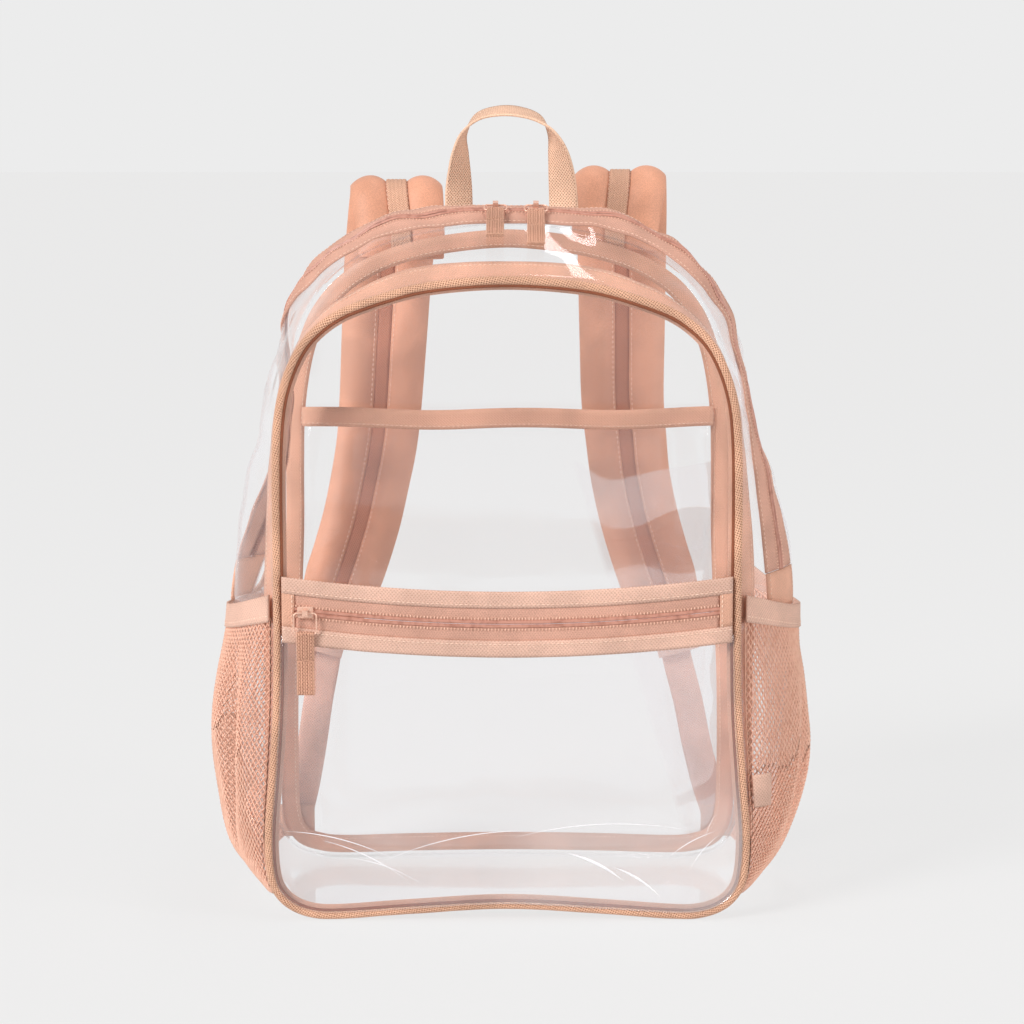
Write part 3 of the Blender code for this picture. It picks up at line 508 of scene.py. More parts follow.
    def crumple(self, point: Vector) -> float:
        """How far the soft upper gusset stands out or in at a point, calm by the sliders.

        Args:
            point: A point of the gusset's face.

        Returns:
            The height, inwards if negative.
        """
        share = (point.y - self.front_y_seam) / self.depth
        high = min(max((point.z - self.crumple_from) / self.crumple_rise, 0.0), 1.0)
        calm = 1 - exp(-(((point.x - self.calm_x) / self.calm_reach) ** 2))
        broad = noise.noise(Vector((point.x * 16, point.y * 26, point.z * 16)))
        small = noise.noise(Vector((point.x * 48, point.y * 70, point.z * 48)))
        rough = self.crumple_broad * broad + self.crumple_small * small
        return max(0.0, sin(pi * share)) * high * calm * rough

    def lifted(self, station: float, y: float, height: float) -> Vector:
        """A point at a height over the gusset's outer face."""
        point = self.skin(station, y)
        return point + self.out_of_skin(station, y) * (height + self.crumple(point))

    def inset(self, loop: list[Vector], station: float, distance: float) -> Vector:
        """A point of a seam moved into its panel.

        Args:
            loop: The seam.
            station: Place round the bag, in stations.
            distance: How far it moves.

        Returns:
            The point.
        """
        along = blend(loop, station + NEAR, True) - blend(loop, station - NEAR, True)
        inward = Vector((-along.z, 0, along.x)).normalized()
        return blend(loop, station, True) + inward * distance

    def station_at(self, height: float, loop: list[Vector] | None = None) -> float:
        """Station on the right side where a loop, the crown's if none, reaches a height.

        Args:
            height: The height to find.
            loop: Points station by station.

        Returns:
            The station.
        """
        loop = self.crown_loop if loop is None else loop
        low, high = 4.0, float(TOP - 1)
        for _ in range(40):
            middle = (low + high) / 2
            if blend(loop, middle, True).z < height:
                low = middle
            else:
                high = middle
        return low

    def front_face(self, x: float, z: float) -> float:
        """Depth of the front panel's outer face.

        Args:
            x: Place across the bag.
            z: Height.

        Returns:
            The depth.
        """
        across = min(abs(2 * x / self.front_width), 1.0)
        up = min(max(z / self.front_height, 0.0), 1.0)
        return self.front_y_seam - self.front_crown * (1 - across**2.5) * sin(pi * up) ** 0.6

    def back_face(self, x: float, z: float) -> float:
        """Depth of the back panel's outer face.

        Args:
            x: Place across the bag.
            z: Height.

        Returns:
            The depth.
        """
        across = min(abs(2 * x / self.rear_width), 1.0)
        up = min(max(z / self.rear_height, 0.0), 1.0)
        return self.rear_y_seam + self.back_crown * (1 - across**2.5) * sin(pi * up)

    def band_z(self, x: float, drop: float) -> float:
        """Height of a line of the front pocket's band, a drop under its top edge."""
        return self.band_top - drop + self.band_sag * (2 * x / self.front_width) ** 2

    def panel_reach(self, z: float) -> float:
        """Half width of the space inside the piping at a height."""
        station = self.station_at(z, self.front_loop)
        return blend(self.front_loop, station, True).x - self.piping - self.clear

    def pocket_face(self, x: float, z: float, foot: float) -> float:
        """Depth of the front pocket's outer face, its band's foot being a drop.

        Args:
            x: Place across the bag.
            z: Height.
            foot: Drop of the band's foot.

        Returns:
            The depth.
        """
        up = min(max(z / self.band_z(x, foot), 0.0), 1.0)
        across = min(abs(2 * x / self.front_width), 1.0)
        full = sin(pi * up) * (1 - across**3)
        return self.front_face(x, z) - self.pocket_standoff - self.pocket_fullness * full

    @cached_property
    def net_front(self) -> float:
        """Depth of a side pocket's front edge."""
        return self.gusset_front + self.tape

    @cached_property
    def net_rear(self) -> float:
        """Depth of a side pocket's rear edge."""
        return self.rear_y_seam - 3 * self.tape

    def net_point(self, side: Side, station: float, y: float, lift: float) -> Vector:
        """A point of a side pocket, standing off the gusset and closed at its edges.

        Args:
            side: The pocket's side.
            station: Place up the right side, mirrored for the left.
            y: Depth.
            lift: Height over the pocket's inner face.

        Returns:
            The point.
        """
        middle, half = (self.net_front + self.net_rear) / 2, (self.net_rear - self.net_front) / 2
        across = min(abs((y - middle) / half), 1.0)
        place = (station if side is Side.RIGHT else ROUND - station) % ROUND
        share = self.skin(place, y).z / self.net_height
        steps = [(s.height, s.right if side is Side.RIGHT else s.left) for s in POCKET_STEPS]
        near = [step_value(steps, share + step * self.net_spread) for step in range(-2, 3)]
        full = self.net_fullness * sum(near) / len(near) * (1 - across**2.2) ** 0.8
        return self.lifted(place, y, self.clear + self.tape + full + lift)


# Meshes


def running_length(points: Sequence[Vector]) -> list[float]:
    """Length along a line at each of its points.

    Args:
        points: The line.

    Returns:
        The lengths, from 0.
    """
    lengths = [0.0]
    for before, after in zip(points, points[1:]):
        lengths.append(lengths[-1] + (after - before).length)
    return lengths


def surface(columns: int, rows: int, place: Place) -> bmesh.types.BMesh:
    """Lay a grid on a surface, its UV map in metres along and across.

    Args:
        columns: Faces along.
        rows: Faces across.
        place: Gives the point at a share along and a share across.

    Returns:
        The new mesh, with meeting edges merged.
    """
    bm = bmesh.new()
    uv = bm.loops.layers.uv.new("UVMap")
    bmesh.ops.create_grid(bm, x_segments=columns, y_segments=rows, size=0.5, calc_uvs=True)
    along = running_length([place(step / columns, 0.5) for step in range(columns + 1)])
    across = running_length([place(0.5, step / rows) for step in range(rows + 1)])
    points = {}
    for vertex in bm.verts:
        column = round((vertex.co.x + 0.5) * columns)
        row = round((vertex.co.y + 0.5) * rows)
        for loop in vertex.link_loops:
            loop[uv].uv = (along[column], across[row])
        points[vertex] = place(column / columns, row / rows)
    for vertex, point in points.items():
        vertex.co = point
    bmesh.ops.remove_doubles(bm, verts=bm.verts, dist=WELD)
    return bm


def tube(columns: int, sides: int, path: Callable[[float], tuple[Vector, Vector, Vector]],
         wide: float, thick: float, closed: bool) -> bmesh.types.BMesh:
    """Sweep an oval along a path.

    Args:
        columns: Faces along.
        sides: Faces round.
        path: Gives middle, direction across and direction out at a share along.
        wide: Half width across.
        thick: Half width out.
        closed: Whether the path runs round to its start.

    Returns:
        The new mesh, its ends filled if it has any.
    """

    def place(along: float, turn: float) -> Vector:
        """A point of the oval."""
        middle, across, out = path(along % 1.0 if closed else along)
        angle = tau * (turn % 1.0)
        return middle + across * cos(angle) * wide + out * sin(angle) * thick

    bm = surface(columns, sides, place)
    if not closed:
        ends = [edge for edge in bm.edges if edge.is_boundary]
        bmesh.ops.holes_fill(bm, edges=ends)
    bmesh.ops.recalc_face_normals(bm, faces=bm.faces)
    return bm


def sew(bm: bmesh.types.BMesh, spots: Sequence[Spot], pitch: float, size: Size) -> None:
    """Add a row of stitches along a line of spots, each a point and its outward direction.

    Args:
        bm: Mesh that takes the stitches.
        spots: The line, each with its outward direction.
        pitch: Distance from stitch to stitch.
        size: Half sizes of a stitch along, across and out.
    """
    lengths = running_length([point for point, _ in spots])
    count = int(lengths[-1] / pitch)
    index = 0
    for number in range(count):
        at = (number + 0.5) * lengths[-1] / count
        while index < len(lengths) - 2 and lengths[index + 1] < at:
            index += 1
        span = lengths[index + 1] - lengths[index]
        share = (at - lengths[index]) / span if span > 0 else 0.0
        (start, start_out), (end, end_out) = spots[index], spots[index + 1]
        along = (end - start).normalized()
        out = start_out.lerp(end_out, share)
        out = (out - along * out.dot(along)).normalized()
        matrix = frame_at(start.lerp(end, share), along, out) @ Matrix.Diagonal((*size, 1))
        bmesh.ops.create_icosphere(bm, subdivisions=1, radius=1.0, matrix=matrix)


def merge(target: bmesh.types.BMesh, other: bmesh.types.BMesh) -> None:
    """Put one mesh's faces into another and free it.

    Args:
        target: Mesh that takes the faces.
        other: Mesh that is freed.
    """
    joined = bpy.data.meshes.new("joined")
    other.to_mesh(joined)
    other.free()
    target.from_mesh(joined)
    bpy.data.meshes.remove(joined)


# Finishes


class Graph:
    """A short way to write a node tree."""

    def __init__(self, tree: bpy.types.NodeTree) -> None:
        """Take the tree to write in."""
        self.tree = tree

    def add(self, kind: str, inputs: dict | None = None, **settings: object) -> bpy.types.Node:
        """Add a node.

        Args:
            kind: The node's type.
            inputs: Sockets by name or number, each given a value or a link.
            **settings: The node's own settings.

        Returns:
            The new node.
        """
        node = self.tree.nodes.new(kind)
        for name, value in settings.items():
            setattr(node, name, value)
        self.feed(node, inputs or {})
        return node

    def feed(self, node: bpy.types.Node, inputs: dict[str | int, Value]) -> None:
        """Give a node's sockets values or links.

        Args:
            node: The node.
            inputs: Sockets by name or number, each given a value or a link.
        """
        for name, value in inputs.items():
            if isinstance(value, bpy.types.NodeSocket):
                self.tree.links.new(value, node.inputs[name])
            else:
                node.inputs[name].default_value = value

    def math(self, operation: str, *values: Value) -> bpy.types.NodeSocket:
        """Add a Math node and return its result."""
        inputs = dict(enumerate(values))
        return self.add("ShaderNodeMath", inputs, operation=operation).outputs[0]

    def mix(self, factor: Value, first: Value, second: Value,
            kind: str = "MIX") -> bpy.types.NodeSocket:
        """Mix two colours and return the result.

        Args:
            factor: Share of the second.
            first: A colour.
            second: Another colour.
            kind: How they blend.

        Returns:
            The mixed colour.
        """
        node = self.add("ShaderNodeMix", {0: factor, 6: first, 7: second}, data_type="RGBA",
                        blend_type=kind)
        return node.outputs[2]

    def ramp(self, value: Value, low: float, high: float, start: float = 0.0,
             end: float = 1.0) -> bpy.types.NodeSocket:
        """Map a value from one range to another, smoothly and within its ends.

        Args:
            value: What is mapped.
            low: Start of its range.
            high: End of its range.
            start: Result at low.
            end: Result at high.

        Returns:
            The result.
        """
        node = self.add(
            "ShaderNodeMapRange", {"Value": value, 1: low, 2: high, 3: start, 4: end},
            interpolation_type="SMOOTHSTEP",
        )
        return node.outputs[0]


def make_group(name: str, inputs: Sequence[tuple[str, str, float]],
               outputs: Sequence[str]) -> tuple[Graph, bpy.types.Node, bpy.types.Node]:
    """Start a shader node group.

    Args:
        name: The group's name.
        inputs: Name, socket type and value of each input.
        outputs: Names of its values.

    Returns:
        Its graph, its input node and its output node.
    """
    tree = bpy.data.node_groups.new(name, "ShaderNodeTree")
    for label, kind, value in inputs:
        made = tree.interface.new_socket(name=label, in_out="INPUT", socket_type=kind)
        if kind == "NodeSocketFloat":
            made.default_value = value
    for label in outputs:
        tree.interface.new_socket(name=label, in_out="OUTPUT", socket_type="NodeSocketFloat")
    graph = Graph(tree)
    return graph, graph.add("NodeGroupInput"), graph.add("NodeGroupOutput")


class Effects:
    """Shader node groups that several finishes share, each made once."""

    @staticmethod
    @cache
    def weave() -> bpy.types.NodeTree:
        """Relief of woven cloth on a UV map in metres, and a mask of painted shade for its hollows.

        Returns:
            The node group.
        """
        graph, start, end = make_group(
            "weave",
            (("Vector", "NodeSocketVector", 0), ("Along", "NodeSocketFloat", 0.001),
             ("Across", "NodeSocketFloat", 0.001), ("Rib", "NodeSocketFloat", 0),
             ("Slant", "NodeSocketFloat", 0)),
            ("Height", "Hollow"),
        )
        warp = graph.add("ShaderNodeTexNoise", {"Vector": start.outputs["Vector"], "Scale": 180.0,
                                               "Detail": 1.0})
        apart = graph.add("ShaderNodeSeparateXYZ", {0: start.outputs["Vector"]})
        drift = graph.math("MULTIPLY", graph.math("SUBTRACT", warp.outputs[0], 0.5), 0.0006)
        x = graph.math("ADD", apart.outputs[0], drift)
        y = graph.math("ADD", apart.outputs[1], drift)
        slant = start.outputs["Slant"]
        u = graph.math("MULTIPLY_ADD", y, slant, x)
        v = graph.math("SUBTRACT", y, graph.math("MULTIPLY", x, slant))
        turn_u = graph.math("DIVIDE", graph.math("MULTIPLY", u, pi), start.outputs["Along"])
        turn_v = graph.math("DIVIDE", graph.math("MULTIPLY", v, pi), start.outputs["Across"])
        wave_u = graph.math("SINE", turn_u)
        wave_v = graph.math("SINE", turn_v)
        plain = graph.math("MULTIPLY_ADD", graph.math("MULTIPLY", wave_u, wave_v), 0.5, 0.5)
        rib = graph.math("MULTIPLY", graph.math("ABSOLUTE", wave_u),
                         graph.math("MULTIPLY_ADD", graph.math("ABSOLUTE", wave_v), 0.3, 0.7))
        share = start.outputs["Rib"]
        height = graph.math("MULTIPLY_ADD", graph.math("SUBTRACT", rib, plain), share, plain)
        # The hollow mask marks where shade is painted into the weave's low parts.
        graph.feed(end, {"Height": height, "Hollow": graph.ramp(height, 0.05, 0.55, 1.0, 0.0)})
        return graph.tree

    @staticmethod
    @cache
    def unevenness() -> bpy.types.NodeTree:
        """Slow and fine changes of tone over a piece.

        Returns:
            The node group.
        """
        graph, start, end = make_group(
            "unevenness",
            (("Vector", "NodeSocketVector", 0), ("Size", "NodeSocketFloat", 0.03)),
            ("Slow", "Fine"),
        )
        scale = graph.math("DIVIDE", 1.0, start.outputs["Size"])
        slow = graph.add("ShaderNodeTexNoise", {"Vector": start.outputs["Vector"], "Scale": scale,
                                               "Detail": 2.0, "Roughness": 0.5})
        fine = graph.add("ShaderNodeTexNoise", {"Vector": start.outputs["Vector"], "Scale": 1400.0,
                                               "Detail": 1.0})
        graph.feed(end, {"Slow": slow.outputs[0], "Fine": fine.outputs[0]})
        return graph.tree


def start_material(name: str) -> tuple[bpy.types.Material, Graph, bpy.types.Node]:
    """Start a material and return it with its graph and its shader.

    Args:
        name: The material's name.

    Returns:
        The material, its graph and its shader.
    """
    made = bpy.data.materials.new(name)
    made.use_nodes = True
    return made, Graph(made.node_tree), made.node_tree.nodes["Principled BSDF"]


@dataclass(frozen=True)
class Cloth:
    """Woven trim, seen as a weave whose hollows take a darker colour of painted shade.

    along and across are the pitches of the weave, rib is how far it is ribbed and slant turns it.
    """

    name: str
    slot: str
    colour: Colour
    # Colour of the painted shade in the weave's hollows.
    hollow: Colour
    along: float = 0.0010
    across: float = 0.0010
    rib: float = 0.0
    slant: float = 0.0
    relief: float = 0.00025
    roughness: float = 0.72
    sheen: float = 0.12
    hollow_shade_share: float = 0.75
    noise_size: float = 0.03

    @cache
    def material(self) -> bpy.types.Material:
        """The finish's material, made once.

        Returns:
            The material.
        """
        made, graph, shader = start_material(self.name)
        places = graph.add("ShaderNodeTexCoord")
        weave = graph.add("ShaderNodeGroup", node_tree=Effects.weave())
        graph.feed(weave, {"Vector": places.outputs["UV"], "Along": self.along,
                           "Across": self.across, "Rib": self.rib, "Slant": self.slant})
        uneven = graph.add("ShaderNodeGroup", node_tree=Effects.unevenness())
        graph.feed(uneven, {"Vector": places.outputs["Object"], "Size": self.noise_size})
        # Painted shade: the weave's hollows are mixed towards the shade colour.
        depth = graph.math("MULTIPLY", weave.outputs["Hollow"], self.hollow_shade_share)
        base = graph.mix(depth, (*self.colour, 1), (*self.hollow, 1))
        worn = graph.ramp(uneven.outputs["Slow"], 0.3, 0.7, 0.88, 1.08)
        flecks = graph.ramp(uneven.outputs["Fine"], 0.3, 0.7, 0.90, 1.08)
        tone = graph.math("MULTIPLY", worn, flecks)
        grey = graph.add("ShaderNodeCombineColor", {0: tone, 1: tone, 2: tone})
        base = graph.mix(1.0, base, grey.outputs[0], "MULTIPLY")
        rough = graph.ramp(uneven.outputs["Fine"], 0.3, 0.7, self.roughness - 0.08,
                           self.roughness + 0.08)
        height = graph.math("MULTIPLY_ADD", uneven.outputs["Fine"], 0.35, weave.outputs["Height"])
        bump = graph.add("ShaderNodeBump", {"Height": height, "Distance": self.relief,
                                            "Strength": 0.9})
        graph.feed(shader, {
            "Base Color": base, "Roughness": rough, "Normal": bump.outputs[0],
            "Sheen Weight": self.sheen, "Sheen Roughness": 0.45,
            "Sheen Tint": (1.0, 0.80, 0.68, 1), "Specular IOR Level": 0.25,
        })
        return made


@dataclass(frozen=True)
class Plain:
    """A finish with no weave: thread, painted metal or moulded plastic, with worn spots."""

    name: str
    slot: str
    colour: Colour
    worn: Colour
    roughness: float = 0.5
    metallic: float = 0.0
    relief: float = 0.00005
    noise_size: float = 0.004
    coat: float = 0.0

    @cache
    def material(self) -> bpy.types.Material:
        """The finish's material, made once.

        Returns:
            The material.
        """
        made, graph, shader = start_material(self.name)
        places = graph.add("ShaderNodeTexCoord")
        uneven = graph.add("ShaderNodeGroup", node_tree=Effects.unevenness())
        graph.feed(uneven, {"Vector": places.outputs["Object"], "Size": self.noise_size})
        share = graph.ramp(uneven.outputs["Slow"], 0.4, 0.75)
        base = graph.mix(share, (*self.colour, 1), (*self.worn, 1))
        rough = graph.ramp(uneven.outputs["Fine"], 0.3, 0.7, self.roughness - 0.06,
                           self.roughness + 0.10)
        bump = graph.add("ShaderNodeBump", {"Height": uneven.outputs["Fine"], "Distance": self.relief})
        graph.feed(shader, {"Base Color": base, "Roughness": rough, "Normal": bump.outputs[0],
                            "Metallic": self.metallic, "Coat Weight": self.coat})
        return made


@dataclass(frozen=True)
class Film:
    """Clear glossy film: it mirrors more at a slant, and is a little milky in cloudy places.

    gloss is its mirror share seen square on, and milk the most that its cloudy places cover.
    glare is a paler part on the right, below the height glare_top.
    """

    name: str
    slot: str = "clear_sheet"
    tone: Colour = (0.95, 0.92, 0.96)
    cloudy: Colour = (1.00, 0.985, 0.99)
    gloss: float = 0.020
    milk: float = 0.010
    cloud: float = 9.0
    glare: float = 0.0
    glare_top: float = 0.262
    glare_wave: float = 0.12
    glare_slant: float = 0.30
    slant_share: float = 0.90
    mirror: float = 0.80

    @cache
    def material(self) -> bpy.types.Material:
        """The finish's material, made once.

        Returns:
            The material.
        """
        made, graph, shader = start_material(self.name)
        places = graph.add("ShaderNodeTexCoord")
        slow = graph.add("ShaderNodeTexNoise", {"Vector": places.outputs["Object"], "Scale": self.cloud,
                                               "Detail": 1.0})
        clouds = graph.ramp(slow.outputs[0], 0.40, 0.72, 0.25, 1.0)
        facing = graph.add("ShaderNodeLayerWeight", {"Blend": 0.5}).outputs["Facing"]
        slant = graph.math("POWER", facing, 5.0)
        cover = graph.math("MULTIPLY_ADD", clouds, self.milk, self.gloss)
        if self.glare > 0:
            apart = graph.add("ShaderNodeSeparateXYZ", {0: places.outputs["Object"]})
            wavy = graph.math("MULTIPLY_ADD", slow.outputs[0], self.glare_wave, apart.outputs[2])
            below = graph.ramp(wavy, self.glare_top + 0.059, self.glare_top + 0.062, self.glare, 0.0)
            slanted = graph.math("MULTIPLY_ADD", apart.outputs[2], self.glare_slant,
                                 apart.outputs[0])
            right = graph.ramp(slanted, 0.124, 0.130)
            cover = graph.math("MULTIPLY_ADD", below, right, cover)
        alpha = graph.math("ADD", cover, graph.math("MULTIPLY", slant, self.slant_share))
        tint = graph.mix(clouds, (*self.tone, 1), (*self.cloudy, 1))
        rough = graph.ramp(slow.outputs[0], 0.3, 0.8, 0.02, 0.10)
        graph.feed(shader, {"Alpha": alpha, "Base Color": tint, "Roughness": rough,
                            "Metallic": self.mirror})
        return made


PEACH = (0.80, 0.45, 0.32)
# Shade colour painted into the weave's hollows.
DEEP_SHADE = (0.40, 0.15, 0.09)


class Finishes:
    """The bag's finishes by what they cover."""

    film = Film("clear_film")
    pocket_film = Film("clear_pocket_film", milk=0.19)
    sleeve_film = Film("clear_sleeve_film", milk=0.02)
    back_film = Film("clear_back_film", glare=0.17)
    piping = Cloth("cord_cover", "cord", (0.88, 0.52, 0.35), (0.30, 0.09, 0.04), 0.0012, 0.0012,
                   slant=0.5, relief=0.0008, roughness=0.55, hollow_shade_share=1.0)
    grosgrain = Cloth("ribbed_tape", "grosgrain", PEACH, DEEP_SHADE, 0.0010, 0.0009, rib=0.35,
                      relief=0.0004)
    band = Cloth("ribbed_mouth_tape", "grosgrain", (0.74, 0.48, 0.38), (0.42, 0.19, 0.12), 0.0011,
                 0.0012, rib=0.2, relief=0.0003, hollow_shade_share=0.7)
    webbing = Cloth("square_webbing", "webbing", (0.90, 0.60, 0.43), (0.34, 0.13, 0.07), 0.0011,
                    0.0011, relief=0.0005, hollow_shade_share=0.85)
    zip_tape = Cloth("zip_tape_weave", "zip_tape", (0.66, 0.37, 0.28), (0.36, 0.16, 0.11), 0.0009,
                     0.0012, rib=0.3, relief=0.0003)
    pad = Cloth("satin_pad_cloth", "pad_cloth", (0.70, 0.345, 0.225), (0.60, 0.26, 0.16), 0.0006,
                0.0006, relief=0.00005, roughness=0.50, sheen=0.08, hollow_shade_share=0.4)
    ridged = Cloth("ridged_webbing", "webbing", (0.72, 0.43, 0.30), (0.36, 0.15, 0.09), 0.0009,
                   0.0009, relief=0.0004)
    lower = Cloth("lower_webbing", "webbing", (0.84, 0.50, 0.40), (0.56, 0.27, 0.20), 0.0010,
                  0.0010, relief=0.0004)
    tick = Plain("woven_ticks", "zip_tape", (0.86, 0.55, 0.41), (0.72, 0.42, 0.30), 0.5)
    # Painted shade: a dark strip that stands for the shade in the pads' inner channel.
    channel = Cloth("channel_painted_shade", "webbing", (0.52, 0.21, 0.13), (0.30, 0.10, 0.05), 0.0009,
                    0.0009, relief=0.0003, sheen=0.05)
    # Painted shade: a dark strip that stands for the shade beside the piping.
    seam_shade = Cloth("seam_painted_shade", "grosgrain", (0.30, 0.10, 0.05), (0.18, 0.05, 0.03), 0.0010,
                   0.0009, relief=0.0003, sheen=0.0)
    # Painted highlight: white slivers that stand for light caught on the pocket film's creases.
    crease = Plain("creased_film_highlight", "clear_sheet", (0.96, 0.95, 0.97), (0.90, 0.88, 0.92), 0.25)
    net = Plain("net_yarn", "net", (0.94, 0.57, 0.43), (0.84, 0.46, 0.33), 0.65, relief=0.0001)
    thread = Plain("sewing_thread", "grosgrain", (0.95, 0.72, 0.58), (0.86, 0.58, 0.45), 0.5)
    coil = Plain("nylon_coil", "zip_coil", (0.56, 0.27, 0.20), (0.40, 0.17, 0.12), 0.42)
    metal = Plain("painted_slider", "slider_metal", (0.80, 0.50, 0.38), (0.68, 0.38, 0.28), 0.30,
                  0.35, coat=0.4)
    tab = Cloth("ribbed_tab_tape", "pull_tab", (0.66, 0.37, 0.26), (0.20, 0.07, 0.04), 0.0011,
                0.0011, rib=0.1, relief=0.0004)
    plastic = Plain("moulded_buckle", "buckle_plastic", (0.76, 0.46, 0.36), (0.70, 0.40, 0.30), 0.4,
                    coat=0.2)


Finish = Cloth | Plain | Film


def keep(name: str, bm: bmesh.types.BMesh, finish: Finish, replaces: Iterable[str] = (),
         wall: float = 0.0, offset: float = 0.0, levels: int = 0, even: bool = True,
         body: Body = Body.BAG) -> bpy.types.Object:
    """Turn a mesh into a dressed piece that rides on a body.

    Args:
        name: The piece's name.
        bm: Its mesh, which is freed.
        finish: What covers it.
        replaces: CAD nodes it stands for.
        wall: Thickness given to an open surface.
        offset: Where the wall grows, from -1 inwards to 1 outwards.
        levels: Subdivisions after the wall.
        even: Whether the wall keeps its thickness at sharp turns.
        body: The body it rides on.

    Returns:
        The finished object.
    """
    mesh = bpy.data.meshes.new(name)
    bm.to_mesh(mesh)
    bm.free()
    mesh.shade_smooth()
    mesh.set_sharp_from_angle(angle=radians(50))
    made = bpy.data.objects.new(name, mesh)
    bpy.context.scene.collection.objects.link(made)
    mesh.materials.append(finish.material())
    if wall > 0:
        step = made.modifiers.new("wall", "SOLIDIFY")
        step.thickness = wall
        step.offset = offset
        step.use_even_offset = even
    if levels > 0:
        step = made.modifiers.new("smooth", "SUBSURF")
        step.levels = step.render_levels = levels
    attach(made, body.value)
    nodes = list(replaces)
    if nodes:
        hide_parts(*nodes)
    LOG.info("%s: %d faces, stands for %s", name, len(mesh.polygons), ", ".join(nodes) or "no node")
    return made


def stitched(name: str, lines: Iterable[Sequence[Spot]], pitch: float = STITCH_PITCH,
             size: Size = STITCH, finish: Finish = Finishes.thread) -> None:
    """Make a piece of stitches, one row to a line.

    Args:
        name: The piece's name.
        lines: The lines of spots.
        pitch: Distance from stitch to stitch.
        size: Half sizes of a stitch along, across and out.
        finish: What covers it.
    """
    bm = bmesh.new()
    for line in lines:
        sew(bm, line, pitch, size)
    keep(name, bm, finish)


def puff(piece: bpy.types.Object, pinned: list[int], cap: float) -> None:
    """Blow a padded piece up by a cloth simulation and keep the result.

    Args:
        piece: The closed piece, with no modifiers.
        pinned: Vertices that its seams hold.
        cap: How far a point may move.
    """
    group = piece.vertex_groups.new(name="held")
    group.add(pinned, 1.0, "REPLACE")
    before = [vertex.co.copy() for vertex in piece.data.vertices]
    cloth = piece.modifiers.new("cloth", "CLOTH")
    cloth.settings.quality = 5
    cloth.settings.use_pressure = True
    cloth.settings.uniform_pressure_force = 4.0
    cloth.settings.effector_weights.gravity = 0.0
    cloth.settings.vertex_group_mass = group.name
    cloth.point_cache.frame_start = 1
    cloth.point_cache.frame_end = PUFF_FRAMES
    for step in range(1, PUFF_FRAMES + 1):
        bpy.context.scene.frame_set(step)
    ready = piece.evaluated_get(bpy.context.evaluated_depsgraph_get())
    after = [vertex.co.copy() for vertex in ready.data.vertices]
    piece.modifiers.remove(cloth)
    piece.vertex_groups.remove(group)
    bpy.context.scene.frame_set(1)
    for vertex, start, end in zip(piece.data.vertices, before, after):
        shift = end - start
        if shift.length > cap:
            shift *= cap / shift.length
        vertex.co = start + shift
    moved = max((vertex.co - start).length for vertex, start in zip(piece.data.vertices, before))
    LOG.info("%s: puffed by up to %.1f mm", piece.name, moved * 1000)


# Sub-assemblies


@dataclass
class Gusset:
    """The clear gusset in three sheets, round the main zip."""

    shape: BagShape
    film: float = 0.0006
    zip_half: float = 0.0125
    gap: float = 0.012

    def patch(self, start: float, end: float, low: Callable[[float], float],
              high: Callable[[float], float], rows: int, lift: float = 0.0,
              per_station: int = 9) -> bmesh.types.BMesh:
        """A patch of the gusset between two stations and two depths.

        Args:
            start: First station.
            end: Last station.
            low: Gives the front depth at a station.
            high: Gives the rear depth at a station.
            rows: Faces across.
            lift: Height over the gusset's face.
            per_station: Faces along to each station.

        Returns:
            The patch as an open mesh.
        """

        def place(along: float, across: float) -> Vector:
            """A point of the patch."""
            station = start + (end - start) * along
            front, rear = low(station), high(station)
            return self.shape.lifted(station, front + (rear - front) * across, lift)

        return surface(round((end - start) * per_station), rows, place)

    def build(self) -> None:
        """Make the three sheets."""
        shape = self.shape
        front, rear = shape.front_y_seam + shape.piping / 2, shape.gusset_rear
        lower = self.patch(-shape.split, shape.split, lambda s: front, lambda s: rear, 18)
        keep("gusset_film_lower", lower, Finishes.film, ["gusset_lower"], self.film, 1.0)
        start, end = shape.split + self.gap, ROUND - shape.split - self.gap
        half = self.zip_half
        ahead = self.patch(start, end, lambda s: front, lambda s: shape.zip_y(s) - half, 12)
        keep("gusset_film_front", ahead, Finishes.film, ["gusset_front"], self.film, 1.0)
        behind = self.patch(start, end, lambda s: shape.zip_y(s) + half, lambda s: rear, 10)
        keep("gusset_film_rear", behind, Finishes.film, ["gusset_rear"], self.film, 1.0)


